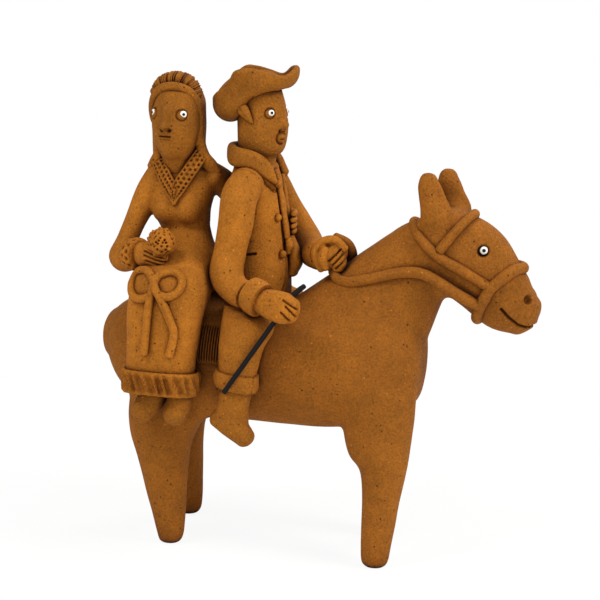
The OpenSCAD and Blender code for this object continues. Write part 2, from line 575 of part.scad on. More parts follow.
// Woman: bodice and skirt
bodice_rows = [
    [1, 0, 0.07, 0.5 * waist_w + 3, 11], [0.5, 0, 0.29, 0.5 * waist_w + 2.4, 10.5],
    [-0.6, -0.5, 0.44, 0.5 * waist_w + 0.6, 9.8], [-1, -1, 0.53, 0.5 * waist_w, 9.4],
    [-2, -2, 0.64, 0.46 * bust_w, 10.2], [-2.8, -2, 0.74, 0.5 * bust_w, 10.8],
    [-2, -1.5, 0.86, 0.56 * bust_w, 10.2], [-1.5, -1, 0.94, 0.58 * bust_w, 9], [-1.5, -1, 1, 0.46 * bust_w, 7.5]];
bodice_keys = keys_at(woman_seat, [for (r = bodice_rows) [r[0], r[1], r[2] * woman_torso_h, r[3], r[4]]]);
module bodice_form(by = 0) stack(bodice_keys, ends = [0, 4], steps = 1, sides = 16, by = by);
skirt_keys = keys_at(skirt_flank, [
    [0.5, -skirt_t / 2 - 0.6, -skirt_drop, 0.435 * skirt_w, skirt_t / 2],
    [1, -skirt_t / 2 - 0.6, -0.5 * skirt_drop, 0.45 * skirt_w, skirt_t / 2],
    [1.6, -skirt_t / 2 + 0.5, -4, 0.475 * skirt_w, skirt_t / 2 + 0.6],
    [2, -5, 4, 0.495 * skirt_w, skirt_t / 2 + 4.6],
    [2.3, 1, 9, 0.5 * skirt_w, skirt_t / 2 + 9.6],
    [2.4, 9, 14, 0.47 * skirt_w, skirt_t / 2 + 14],
    [2, 15, 18, 0.42 * skirt_w, skirt_t / 2 + 7.6],
    [1, 20, 22, 0.36 * skirt_w, skirt_t / 2 + 0.6]]);
skirt_q = 2.4;
module skirt_form(by = 0) stack(skirt_keys, ends = [0, 2], steps = 1, sides = 18, q = skirt_q, by = by);
hem = skirt_flank + [0.9, -skirt_t / 2 - hem_out, -skirt_drop];
function flute(j, sides) = flute_t * cos(360 * j * frill_flutes / sides);
function frill_ring(z, a, b, by) = let (sides = 3 * frill_flutes) [
    for (j = [0 : sides - 1])
        hem + [
            (a + by + flute(j, sides)) * squared(cos(360 * j / sides), skirt_q),
            (b + by + flute(j, sides)) * squared(sin(360 * j / sides), skirt_q), z]];
module frill_form(by = 0) {
    a = 0.435 * skirt_w + frill_out + 0.3;
    b = skirt_t / 2 + frill_out;
    low = 4 - frill_h;
    skin([
        frill_ring(low - by, a - 0.8, b - 0.8, by), frill_ring(low + 0.35 * frill_h, a, b, by),
        frill_ring(low + 0.75 * frill_h, a - 0.2, b - 0.2, by), frill_ring(4 + by, a - 0.8, b - 0.8, by)]);
}
module shoe_form(x, by = 0) coil(keys_at(hem, [
    [x, 1, 0, shoe_d / 2, shoe_d / 2 + 0.6], [x - 0.4, -1.5, -8, 0.52 * shoe_d, shoe_d / 2],
    [x - 0.8, -4.5, -15, 0.42 * shoe_d, 0.36 * shoe_d]]), along_y, [0, 3], 2, 10, 2.1, by);
module shoes_form(by = 0) {
    shoe_form(-7, by);
    shoe_form(9.4, by);
}

// Woman: lace collar and sash
lace_tip = woman_neck + [-2, -12.2, -12];
lace_left_keys = [for (p = [woman_neck + [-9.5, -6.4, 3], woman_neck + [-6.6, -10.6, -4.4], lace_tip])
    key(p, 0.5 * lace_w, 1.5)];
lace_right_keys = [for (p = [woman_neck + [8.6, -5.6, 4.6], woman_neck + [3, -10.6, -4], lace_tip])
    key(p, 0.5 * lace_w, 1.5)];
module lace_form(by = 0) {
    coil(lace_left_keys, along_y, [1, 1.4], 2, 8, 2.4, by);
    coil(lace_right_keys, along_y, [1, 1.4], 2, 8, 2.4, by);
}
function skirt_value(z, i) = lookup(z, [for (k = skirt_keys) [k[2], k[i]]]);
function skirt_front(x, z) = let (share = min(1, abs(x - skirt_value(z, 0)) / skirt_value(z, 3)))
    skirt_value(z, 1) - skirt_value(z, 4) * pow(1 - pow(share, skirt_q), 1 / skirt_q);
sash_knot = skirt_flank + [0.6, 0, 9.5];
function sash_places(rows, proud) = [
    for (r = rows)
        let (x = sash_knot.x + r[0], z = sash_knot.z + r[1]) [x, skirt_front(x, z) - proud, z]];
left_loop_right_tail = [[-3, -4.6], [-5.6, -4.4], [-9.2, -2], [-11, 2.4], [-8.8, 6], [-4.5, 6.4], [0, 0.6], [3.6, -5.8],
    [7.2, -13.4], [8.9, -19.2], [7.2, -28.2]];
right_loop_left_tail = [[3.4, -3.6], [5.6, -3.2], [9.4, -1.3], [12.1, 2.4], [10.3, 6.2], [5.4, 7.2], [1.8, 5], [-0.6, -1.6],
    [-2.2, -8], [-3.1, -18], [-4, -28.2]];
module sash_coil(rows, proud, by) coil(round_keys(sash_places(rows, proud), sash_d), along_y, [0.8, 0.8], 2, 6, 2, by);
module sash_form(by = 0) {
    sash_coil(left_loop_right_tail, 0.15 * sash_d, by);
    sash_coil(right_loop_left_tail, 0.35 * sash_d, by);
}

// Woman: right arm with its bouquet, and the left arm round the man's far side
wrist = [woman_seat.x - 0.4 * skirt_w - 2.2, 2 - flank, back_z + 19.5];
woman_right_keys = [
    key(woman_neck + [-11.5, 0, -1], 0.48 * dress_sleeve_d, 0.48 * dress_sleeve_d),
    key(woman_neck + [-15, -4, -10.6], 0.52 * dress_sleeve_d, 0.52 * dress_sleeve_d),
    key(woman_neck + [-18, -8, -20.6], 0.5 * dress_sleeve_d, 0.5 * dress_sleeve_d),
    key(woman_neck + [-21.2, -11.6, -30.6], 0.49 * dress_sleeve_d, 0.49 * dress_sleeve_d),
    key(wrist + [-8.4, 7.6, -2], 0.51 * dress_sleeve_d, 0.51 * dress_sleeve_d),
    key(wrist + [-4, 3.2, -2], 0.46 * dress_sleeve_d, 0.46 * dress_sleeve_d),
    key(wrist, 0.42 * dress_sleeve_d, 0.42 * dress_sleeve_d)];
module woman_right_sleeve_form(by = 0) coil(woman_right_keys, along_y, [4, 0], 2, 10, 2, by);
lace_cuff_keys = [
    key(wrist + [-2.6, 2.2, -0.6], 0.44 * lace_cuff_d, 0.44 * lace_cuff_d),
    key(wrist + [0.2, -0.2, 0.3], 0.5 * lace_cuff_d, 0.5 * lace_cuff_d),
    key(wrist + [2.6, -2.2, 0.8], 0.44 * lace_cuff_d, 0.44 * lace_cuff_d)];
module woman_right_cuff_form(by = 0) coil(lace_cuff_keys, along_z, [0, 0], 2, 14, 2, by);
woman_right_hand_keys = keys_at(wrist, [
    [1.6, -1.4, 0.9, 3.6, 4.7], [6, -5, 1.4, 4, 5.6], [11.5, -7.6, 1, 3.8, 5.4], [15, -8.6, 0.6, 3.2, 4.2]]);
module woman_right_hand_form(by = 0) coil(woman_right_hand_keys, along_z, [0, 2.2], 2, 10, 2.2, by);
bouquet_place = wrist + [14.6, -8.6, 7.6];

woman_left_keys = [
    key(woman_neck + [11.5, 0, -1], 0.48 * dress_sleeve_d, 0.48 * dress_sleeve_d),
    key(woman_neck + [15.5, 9, -6], 0.46 * dress_sleeve_d, 0.48 * dress_sleeve_d),
    key(man_neck + [-13.5, 18, -18], 0.42 * dress_sleeve_d, 0.46 * dress_sleeve_d),
    key(man_neck + [-2, 20.5, -22], 0.4 * dress_sleeve_d, 0.44 * dress_sleeve_d),
    key(man_neck + [8.5, 15, -23.5], 0.36 * dress_sleeve_d, 0.42 * dress_sleeve_d)];
module woman_left_sleeve_form(by = 0) coil(woman_left_keys, along_z, [4, 0], 2, 10, 2, by);
woman_left_hand_keys = keys_at(man_neck, [
    [8, 15.6, -23.5, 2.6, 4.8], [12.4, 10.5, -23.6, 2.8, 5.4], [14.6, 5, -23.8, 2.4, 5], [15, 2.2, -24, 1.8, 4]]);
module woman_left_hand_form(by = 0) coil(woman_left_hand_keys, along_z, [0, 1], 2, 10, 2.2, by);

// Woman: head turned a little away from the man, with its veil, headband and crest
woman_turn = -11;
woman_eye_spread = 40;
woman_head_rows = [
    [0, 0, 0.335, 0.33], [0, 0.2, 0.385, 0.38], [0, 0.34, 0.45, 0.46], [0, 0.56, 0.5, 0.5], [0, 0.78, 0.49, 0.5],
    [0, 0.95, 0.42, 0.43]];
woman_head_place = woman_neck + [-3, -2.6, 0];
woman_head_keys = keys_at(woman_head_place, [
    for (r = woman_head_rows)
        [r[0], -3.4 * sin(180 * min(1, r[1])), r[1] * woman_head_h, r[2] * woman_face_w, r[3] * woman_face_w]]);
module woman_head_form(by = 0) stack(woman_head_keys, ends = [2, 3], steps = 1, sides = 16, by = by);
module at_woman_eyes(inset) {
    translate(woman_head_place + [0, -2.6, 0.72 * woman_head_h])
        rotate([0, 0, woman_turn])
            for (s = [-1, 1])
                rotate([0, 0, s * woman_eye_spread])
                    translate([0, -0.5 * woman_face_w + inset, 0])
                        rotate([90, 0, 0]) children();
}
veil_keys = keys_at(woman_neck, [
    [-1.8, 4, -2.5, 0.7 * veil_w, 8.4], [-3.6, 4.6, 3, 0.57 * veil_w, 9.4], [-5, 4.6, 11, 0.5 * veil_w, 10.4],
    [-5.2, 4, 23, 0.5 * veil_w, 11.6], [-5.3, 3.4, 31, 0.49 * veil_w, 11.6], [-5.4, 3.2, 36, 0.4 * veil_w, 9.8]]);
module veil_form(by = 0) stack(veil_keys, ends = [1.5, 3], steps = 1, sides = 16, by = by);
headband_places = [for (r = [[-0.4, -1.5, 22], [-0.375, -4.6, 30], [-0.235, -7.4, 35.6], [0.01, -8.4, 37.8],
    [0.26, -7.4, 36], [0.41, -4.6, 30.6], [0.43, -1.5, 22.6]])
    woman_neck + [-4.2 + r[0] * veil_w, r[1], r[2]]];
module headband_form(by = 0) coil(round_keys(headband_places, headband_d), along_y, [1, 1], 2, 8, 2, by);
crest_keys = [for (r = [[-0.33, -0.6, 33.4, 0.14], [-0.2, -0.8, 38, 0.17], [0.02, -1, 39.8, 0.18],
    [0.23, -0.8, 38.2, 0.17], [0.36, -0.6, 33.6, 0.14]])
    key(woman_neck + [-5.2 + r[0] * veil_w, r[1], r[2]], r[3] * veil_w, 6)];
module crest_form(by = 0) coil(crest_keys, along_y, [1.5, 1.5], 2, 10, 2, by);

// Stamped eyes: a round socket, a white pellet in it and a black pupil on the pellet
white_share = 0.7;
pupil_share = 0.32;
module socket(d) cylinder(d = d, h = 4 * eye_socket_depth, $fn = 16);
module white_pellet(d) sphere(d = white_share * d, $fn = 32);
module pupil_dot(d) difference() {
    translate([0, 0, white_share * d / 2]) sphere(d = pupil_share * d, $fn = 24);
    sphere(d = white_share * d + 2 * slip, $fn = 32);
}

// Nodes of the horse
module horse_trunk() placed(horse_clay) trunk_form();
module horse_neck() placed(horse_clay) carved() {
    neck_form();
    trunk_form(slip);
}
module horse_head() placed(horse_clay) carved() {
    head_form();
    neck_form(slip);
    trunk_form(slip);
    at_horse_eyes(eye_socket_depth) socket(horse_eye_d);
}
module near_front_leg() placed(horse_clay) carved() {
    leg_form(near_front_foot, front_rows);
    trunk_form(slip);
}
module far_front_leg() placed(horse_clay) carved() {
    leg_form(far_front_foot, front_rows);
    trunk_form(slip);
}
module near_hind_leg() placed(horse_clay) carved() {
    leg_form(near_hind_foot, hind_rows);
    trunk_form(slip);
}
module far_hind_leg() placed(horse_clay) carved() {
    leg_form(far_hind_foot, hind_rows);
    trunk_form(slip);
}
module near_ear() placed(horse_clay) carved() {
    near_ear_form();
    head_form(slip);
    neck_form(slip);
}
module far_ear() placed(horse_clay) carved() {
    far_ear_form();
    head_form(slip);
    neck_form(slip);
}
module tail() placed(horse_clay) carved() {
    tail_form();
    trunk_form(slip);
    leg_form(far_hind_foot, hind_rows, slip);
}
module horse_eyes() placed(eye_white) at_horse_eyes(eye_socket_depth - slip) {
    intersection() {
        white_pellet(horse_eye_d);
        cylinder(d = horse_eye_d, h = horse_eye_d);
    }
}
module horse_pupils() placed(black_paint) at_horse_eyes(eye_socket_depth - slip) pupil_dot(horse_eye_d);
module bridle_bed() {
    head_form(slip);
    neck_form(slip);
    near_ear_form(slip);
    far_ear_form(slip);
}
module crown_strap() placed(horse_clay) carved() {
    crown_form();
    bridle_bed();
}
module brow_band() placed(horse_clay) carved() {
    brow_form();
    bridle_bed();
    crown_form(slip);
}
module nose_band() placed(horse_clay) carved() {
    nose_form();
    bridle_bed();
    crown_form(slip);
}
module rein_bed() {
    bridle_bed();
    trunk_form(slip);
    nose_form(slip);
    crown_form(slip);
    left_hand_form(slip);
}
module near_rein() placed(horse_clay) carved() {
    near_rein_form();
    rein_bed();
}
module far_rein() placed(horse_clay) carved() {
    far_rein_form();
    rein_bed();
    near_rein_form(slip);
}
module saddle_blanket() placed(horse_clay) carved() {
    blanket_form();
    trunk_form(slip);
    neck_form(slip);
}

// Nodes of the man
module horse_bed() {
    trunk_form(slip);
    neck_form(slip);
    blanket_form(slip);
}
module man_torso() placed(rider_clay) carved() {
    torso_form();
    horse_bed();
}
module man_head() placed(rider_clay) carved() {
    man_head_form();
    torso_form(slip);
    at_man_eyes(eye_socket_depth) socket(rider_eye_d);
}
module man_ears() placed(rider_clay) carved() {
    man_ears_form();
    man_head_form(slip);
    hat_form(slip);
}
module man_eyes() placed(eye_white) at_man_eyes(eye_socket_depth - slip) {
    intersection() {
        white_pellet(rider_eye_d);
        cylinder(d = rider_eye_d, h = rider_eye_d);
    }
}
module man_pupils() placed(black_paint) at_man_eyes(eye_socket_depth - slip) pupil_dot(rider_eye_d);
module hat() placed(rider_clay) carved() {
    pressed() hat_form();
    man_head_form(slip);
}
module right_trouser_leg() placed(rider_clay) carved() {
    trouser_form();
    horse_bed();
    torso_form(slip);
}
module left_trouser_leg() placed(rider_clay) carved() {
    far_side() trouser_form();
    horse_bed();
    torso_form(slip);
}
module right_trouser_cuff() placed(rider_clay) carved() {
    trouser_cuff_form();
    horse_bed();
    trouser_form(slip);
    boot_form(slip);
}
module left_trouser_cuff() placed(rider_clay) carved() {
    far_side() trouser_cuff_form();
    horse_bed();
    far_side() trouser_form(slip);
    far_side() boot_form(slip);
}
module right_boot() placed(rider_clay) carved() {
    pressed() boot_form();
    horse_bed();
    trouser_form(slip);
}
module left_boot() placed(rider_clay) carved() {
    pressed() far_side() boot_form();
    horse_bed();
    far_side() trouser_form(slip);
}
module man_body_bed() {
    horse_bed();
    torso_form(slip);
    trouser_form(slip);
    man_head_form(slip);
}
module right_sleeve() placed(rider_clay) carved() {
    right_sleeve_form();
    man_body_bed();
}
module right_cuff() placed(rider_clay) carved() {
    right_cuff_form();
    man_body_bed();
    right_sleeve_form(slip);
}
module right_hand() placed(rider_clay) difference() {
    carved() {
        right_hand_form();
        man_body_bed();
        right_cuff_form(slip);
        right_sleeve_form(slip);
    }
    along_stick() cylinder(d = stick_d + 2 * stick_clearance, h = 3 * fist_d, center = true, $fn = 48);
}
module left_sleeve() placed(rider_clay) carved() {
    left_sleeve_form();
    man_body_bed();
}
module left_cuff() placed(rider_clay) carved() {
    left_cuff_form();
    man_body_bed();
    left_sleeve_form(slip);
}
module left_hand() placed(rider_clay) carved() {
    left_hand_form();
    man_body_bed();
    left_cuff_form(slip);
    left_sleeve_form(slip);
}
module coat_collar() placed(rider_clay) carved() {
    collar_form();
    torso_form(slip);
    man_head_form(slip);
    right_sleeve_form(slip);
    left_sleeve_form(slip);
}
module coat_placket() placed(rider_clay) carved() {
    pressed() placket_form();
    torso_form(slip);
    man_head_form(slip);
    collar_form(slip);
}
module coat_buttons() placed(rider_clay) carved() {
    union() {
        for (p = button_places) translate(p) sphere(d = button_d, $fn = 10);
    }
    torso_form(slip);
    collar_form(slip);
    placket_form(slip);
}
module stick() placed(black_paint) along_stick() {
    translate([0, 0, -stick_lower_l]) cylinder(d = stick_d, h = stick_lower_l + stick_upper_l, $fn = 48);
    translate([0, 0, stick_upper_l]) {
        sphere(d = stick_knot_d, $fn = 48);
        rotate([0, stick_kink, 0]) cylinder(d = stick_d, h = stick_tip_l, $fn = 48);
    }
}

// Nodes of the woman
module man_bed() {
    torso_form(slip);
    trouser_form(slip);
    right_sleeve_form(slip);
    left_sleeve_form(slip);
    collar_form(slip);
    hat_form(slip);
}
module woman_bodice() placed(rider_clay) carved() {
    bodice_form();
    horse_bed();
    man_bed();
}
module woman_skirt() placed(rider_clay) carved() {
    skirt_form();
    horse_bed();
    man_bed();
    trouser_cuff_form(slip);
    boot_form(slip);
    leg_form(near_hind_foot, hind_rows, slip);
    bodice_form(slip);
}
module skirt_bed() {
    horse_bed();
    man_bed();
    trouser_cuff_form(slip);
    boot_form(slip);
    leg_form(near_hind_foot, hind_rows, slip);
    skirt_form(slip);
}
module skirt_frill() placed(rider_clay) carved() {
    frill_form();
    skirt_bed();
}
module woman_shoes() placed(rider_clay) carved() {
    shoes_form();
    skirt_bed();
    frill_form(slip);
}
module woman_head() placed(rider_clay) carved() {
    woman_head_form();
    bodice_form(slip);
    at_woman_eyes(eye_socket_depth) socket(rider_eye_d);
}
module woman_eyes() placed(eye_white) at_woman_eyes(eye_socket_depth - slip) {
    intersection() {
        white_pellet(rider_eye_d);
        cylinder(d = rider_eye_d, h = rider_eye_d);
    }
}
module woman_pupils() placed(black_paint) at_woman_eyes(eye_socket_depth - slip) pupil_dot(rider_eye_d);
module woman_body_bed() {
    bodice_form(slip);
    woman_head_form(slip);
    skirt_form(slip);
    man_bed();
    horse_bed();
}
module veil() placed(rider_clay) carved() {
    veil_form();
    woman_body_bed();
}
module headband() placed(rider_clay) carved() {
    headband_form();
    woman_head_form(slip);
    veil_form(slip);
}
module hair_crest() placed(rider_clay) carved() {
    crest_form();
    woman_head_form(slip);
    veil_form(slip);
    headband_form(slip);
}
module woman_right_sleeve() placed(rider_clay) carved() {
    woman_right_sleeve_form();
    woman_body_bed();
    veil_form(slip);
}
module woman_right_cuff() placed(rider_clay) carved() {
    woman_right_cuff_form();
    woman_body_bed();
    woman_right_sleeve_form(slip);
}
module woman_right_hand() placed(rider_clay) carved() {
    woman_right_hand_form();
    woman_body_bed();
    woman_right_cuff_form(slip);
    woman_right_sleeve_form(slip);
}
module bouquet() placed(rider_clay) carved() {
    translate(bouquet_place) sphere(d = bouquet_d, $fn = 16);
    woman_body_bed();
    woman_right_hand_form(slip);
    woman_right_cuff_form(slip);
}
module woman_left_sleeve() placed(rider_clay) carved() {
    woman_left_sleeve_form();
    woman_body_bed();
    veil_form(slip);
}
module woman_left_hand() placed(rider_clay) carved() {
    woman_left_hand_form();
    woman_body_bed();
    woman_left_sleeve_form(slip);
    placket_form(slip);
}
module lace_collar() placed(rider_clay) carved() {
    pressed() lace_form();
    woman_body_bed();
    veil_form(slip);
    woman_right_sleeve_form(slip);
}
module sash_bow() placed(rider_clay) carved() {
    pressed() sash_form();
    woman_body_bed();
    woman_right_hand_form(slip);
    woman_right_cuff_form(slip);
}

horse_trunk();
horse_neck();
horse_head();
near_front_leg();
far_front_leg();
near_hind_leg();
far_hind_leg();
near_ear();
far_ear();
tail();
horse_eyes();
horse_pupils();
crown_strap();
brow_band();
nose_band();
near_rein();
far_rein();
saddle_blanket();
man_torso();
man_head();
man_ears();
man_eyes();
man_pupils();
hat();
coat_collar();
coat_placket();
coat_buttons();
right_sleeve();
right_cuff();
right_hand();
left_sleeve();
left_cuff();
left_hand();
right_trouser_leg();
right_trouser_cuff();
right_boot();
left_trouser_leg();
left_trouser_cuff();
left_boot();
stick();
woman_bodice();
woman_skirt();
skirt_frill();
woman_shoes();
lace_collar();
sash_bow();
woman_right_sleeve();
woman_right_cuff();
woman_right_hand();
bouquet();
woman_left_sleeve();
woman_left_hand();
woman_head();
woman_eyes();
woman_pupils();
veil();
headband();
hair_crest();
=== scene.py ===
"""Looks of a hand-built clay group: a horse, a man in a hat and a woman side-saddle behind him.

Every lump is a loft of squared-off ellipses along a flowing path, worked out with numpy in millimetres in
the group's own drawing, and put into the shared frame when its mesh is made. Tool marks are pressed in
afterwards.
"""

import math

import bmesh
import bpy
import numpy as np
from mathutils import Matrix, Vector


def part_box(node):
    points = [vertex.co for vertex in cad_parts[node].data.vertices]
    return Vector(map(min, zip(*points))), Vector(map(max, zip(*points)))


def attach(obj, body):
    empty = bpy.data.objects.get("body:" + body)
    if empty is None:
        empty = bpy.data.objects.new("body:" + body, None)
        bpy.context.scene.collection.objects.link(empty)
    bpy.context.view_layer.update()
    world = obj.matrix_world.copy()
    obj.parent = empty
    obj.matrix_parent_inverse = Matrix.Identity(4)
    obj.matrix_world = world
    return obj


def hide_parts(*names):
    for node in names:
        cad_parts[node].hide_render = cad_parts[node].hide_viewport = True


bl_info = {
    "name": "Clay riders on a horse",
    "version": (1, 0, 0),
    "blender": (4, 5, 0),
    "location": "View3D > Sidebar > Clay",
    "description": "Builds the visible clay pieces of a small group of two riders on a horse",
    "category": "Object",
}

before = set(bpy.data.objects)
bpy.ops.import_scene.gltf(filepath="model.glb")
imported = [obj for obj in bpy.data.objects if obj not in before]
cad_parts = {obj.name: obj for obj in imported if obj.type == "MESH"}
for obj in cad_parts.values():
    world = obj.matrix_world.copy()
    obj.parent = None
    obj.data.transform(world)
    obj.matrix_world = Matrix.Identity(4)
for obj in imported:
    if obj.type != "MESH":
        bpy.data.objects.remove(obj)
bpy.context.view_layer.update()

# Units and directions
MM = 0.001
X = np.array([1.0, 0.0, 0.0])
Y = np.array([0.0, 1.0, 0.0])
Z = np.array([0.0, 0.0, 1.0])

# Main places of the horse, in millimetres
RUMP_X = -101.0
HIND_X = -61.5
FRONT_X = 33.5
MIDDLE_X = -14.0
BACK = 112.0
TRUNK_Z = 84.0
TRUNK_HALF = 28.0
TRUNK_Q = 2.2
FLANK = 29.0
HEAD_ROOT = np.array([50.0, 0.0, 143.0])
NECK_TOP = np.array([45.3, 0.0, 135.0])
HEAD_TILT = math.radians(36)
HEAD_ALONG = np.array([math.cos(HEAD_TILT), 0.0, -math.sin(HEAD_TILT)])
HEAD_UP = np.array([math.sin(HEAD_TILT), 0.0, math.cos(HEAD_TILT)])
HEAD_LENGTH = 56.0
HEAD_HALF_W = 13.2
HEAD_HALF_D = 18.7

# Main places of the riders
MAN_SEAT = np.array([-30.0, 0.0, BACK])
MAN_TORSO_H = 58.0
MAN_TORSO_D = 30.0
MAN_TORSO_W = 34.0
MAN_NECK = MAN_SEAT + [0, 0, MAN_TORSO_H]
MAN_HEAD_H = 34.0
MAN_HEAD_D = 22.4
MAN_HEAD_W = 20.4
MAN_TURN = -26.0
MAN_FLANK = np.array([-30.0, -FLANK, BACK])
LEFT_FIST = MAN_SEAT + [33.5, -4.5, 22]
RIGHT_FIST = MAN_FLANK + [23, -11, 3.6]
WOMAN_SEAT = MAN_SEAT + [-32, -3, 0]
WOMAN_TORSO_H = 55.0
WOMAN_NECK = WOMAN_SEAT + [-1.5, -1, WOMAN_TORSO_H]
WOMAN_HEAD = WOMAN_NECK + [-3, -2.6, 0]
WOMAN_HEAD_H = 36.0
WOMAN_HEAD_W = 21.2
WOMAN_TURN = -97.0
WOMAN_EYES_TURN = -101.0
SKIRT_FLANK = np.array([-62.0, -FLANK, BACK])
HEM = SKIRT_FLANK + [0.9, -10.8, -33]
WRIST = np.array([-78.2, 2 - FLANK, BACK + 19.5])
STICK_WAY = np.array([0.516, 0.213, 0.829])

# The drawing's origin in the frame, from the trunk's own box
TRUNK_BOX = np.array([list(corner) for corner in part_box("horse_trunk")]) / MM
STAND = np.array([TRUNK_BOX[0, 0] - RUMP_X, TRUNK_BOX[:, 1].mean(), 0.0])

# A round end stops at this angle, just short of its pole, which the skin closes
LAST_RING = math.radians(86)
# Shares of the way that a point moves while lumps are luted: filling, holding, and easing there and back
FILL_STEP = 0.6
HOLD_STEP = 0.02
EASE_STEPS = (0.5, -0.52)
# Rounds of filling after which the normals are worked out afresh
FRESH_NORMALS = 6
# Number and seed of the waves of the hand-made unevenness
WAVES = 14
WAVE_SEED = 12


def srgb(code):
    """Linear colour of a hex value: c / 12.92 up to 0.04045, else ((c + 0.055) / 1.055) ** 2.4."""
    parts = [int(code[i:i + 2], 16) / 255 for i in (1, 3, 5)]
    return tuple(c / 12.92 if c <= 0.04045 else ((c + 0.055) / 1.055) ** 2.4 for c in parts)


class ClaySizes(bpy.types.PropertyGroup):
    """Sizes of the hand work, which a user would change."""

    horse_voxel: bpy.props.FloatProperty(
        name="Horse mesh", description="Grid of the horse's luted skin", default=0.94 * MM, unit="LENGTH")
    dress_voxel: bpy.props.FloatProperty(
        name="Dress mesh", description="Grid of the dress's luted skin", default=0.62 * MM, unit="LENGTH")
    boot_voxel: bpy.props.FloatProperty(
        name="Boot mesh", description="Grid of the boots' and left fist's", default=0.5 * MM, unit="LENGTH")
    lump: bpy.props.FloatProperty(
        name="Unevenness", description="Height of the unevenness", default=0.16 * MM, unit="LENGTH")
    lump_length: bpy.props.FloatProperty(
        name="Unevenness length", description="Shortest wave of it", default=7 * MM, unit="LENGTH")
    groove: bpy.props.FloatProperty(
        name="Finger groove", description="Half width of a finger cut", default=0.36 * MM, unit="LENGTH")
    groove_depth: bpy.props.FloatProperty(
        name="Finger depth", description="Depth of a finger cut", default=1.3 * MM, unit="LENGTH")
    dimple: bpy.props.FloatProperty(
        name="Lace dimple", description="Half width of a lace dimple", default=0.68 * MM, unit="LENGTH")
    dimple_depth: bpy.props.FloatProperty(
        name="Lace depth", description="Depth of a lace dimple", default=1.3 * MM, unit="LENGTH")
    rider_eye: bpy.props.FloatProperty(
        name="Rider's eye", description="Width of a stamped eye ring", default=4.4 * MM, unit="LENGTH")
    horse_eye: bpy.props.FloatProperty(
        name="Horse's eye", description="Width of its pressed socket", default=5.0 * MM, unit="LENGTH")
    stick: bpy.props.FloatProperty(
        name="Stick", description="Thickness of the painted stick", default=2.2 * MM, unit="LENGTH")


class ClayColours(bpy.types.PropertyGroup):
    """Colours of the fired clay and the paint."""

    horse: bpy.props.FloatVectorProperty(
        name="Horse clay", description="Middle tone of the horse", subtype="COLOR", default=srgb("#885116"))
    rider: bpy.props.FloatVectorProperty(
        name="Rider clay", description="Middle tone of riders", subtype="COLOR", default=srgb("#9f611b"))
    slip: bpy.props.FloatVectorProperty(
        name="Eye white", description="White slip of the eyes", subtype="COLOR", default=srgb("#efece4"))
    paint: bpy.props.FloatVectorProperty(
        name="Black paint", description="Of stick and pupils", subtype="COLOR", default=srgb("#080707"))


class ClayStage(bpy.types.PropertyGroup):
    """Camera, floor and light."""

    azimuth: bpy.props.FloatProperty(
        name="Azimuth", description="Camera's turn round the group", subtype="ANGLE",
        default=math.radians(14))
    elevation: bpy.props.FloatProperty(
        name="Elevation", description="Camera's height angle", subtype="ANGLE", default=math.radians(11))
    roll: bpy.props.FloatProperty(
        name="Roll", description="Camera's turn about its axis", subtype="ANGLE", default=math.radians(2))
    distance: bpy.props.FloatProperty(
        name="Distance", description="Camera to the middle of the view", default=0.75, unit="LENGTH")
    view_width: bpy.props.FloatProperty(
        name="View width", description="Width of the view at that distance", default=0.2683, unit="LENGTH")
    key: bpy.props.FloatProperty(
        name="Key light", description="Soft light from the upper left", default=6.0, unit="POWER")
    fill: bpy.props.FloatProperty(
        name="Fill light", description="Light from the upper right", default=8.2, unit="POWER")
    front: bpy.props.FloatProperty(
        name="Front light", description="Weak light beside the camera", default=3.1, unit="POWER")
    back: bpy.props.FloatProperty(
        name="Back light", description="Weak light from above and behind", default=4.0, unit="POWER")
    sky: bpy.props.FloatProperty(
        name="Sky", description="Strength of the light from all round", default=0.24)


# Curves and lofts

def unit(v):
    """Vector of length one, along the last axis."""
    v = np.asarray(v, float)
    return v / np.linalg.norm(v, axis=-1, keepdims=True)


def flow(keys, count, closed=False):
    """Catmull-Rom curve through the rows of keys.

    From row b to row c, with a before and d after, it is half of
    2b + (c - a)t + (2a - 5b + 4c - d)t^2 + (3b - a - 3c + d)t^3 for t from 0 to 1.
    """
    rows = np.asarray(keys, float)
    n = len(rows)
    t = np.linspace(0, n if closed else n - 1, count, endpoint=not closed)
    i = np.minimum(t.astype(int), n - 1 if closed else n - 2)
    t = (t - i)[:, None]
    a, b, c, d = (rows[(i + k) % n if closed else np.clip(i + k, 0, n - 1)] for k in (-1, 0, 1, 2))
    square, cube = 2 * a - 5 * b + 4 * c - d, 3 * b - a - 3 * c + d
    return 0.5 * (2 * b + (c - a) * t + square * t ** 2 + cube * t ** 3)


def at(place, rows):
    """Rows [x, y, z, sizes] whose places are measured from a place."""
    rows = np.array(rows, float)
    rows[:, :3] += place
    return rows


def tube(places, d):
    """Keys of a round coil of thickness d through the places."""
    places = np.asarray(places, float)
    return np.hstack([places, np.full((len(places), 2), d / 2)])


def squared(v, q):
    """Signed power 2/q, which turns a circle's cosine and sine into a squared-off ellipse's."""
    return np.sign(v) * np.abs(v) ** (2 / q)


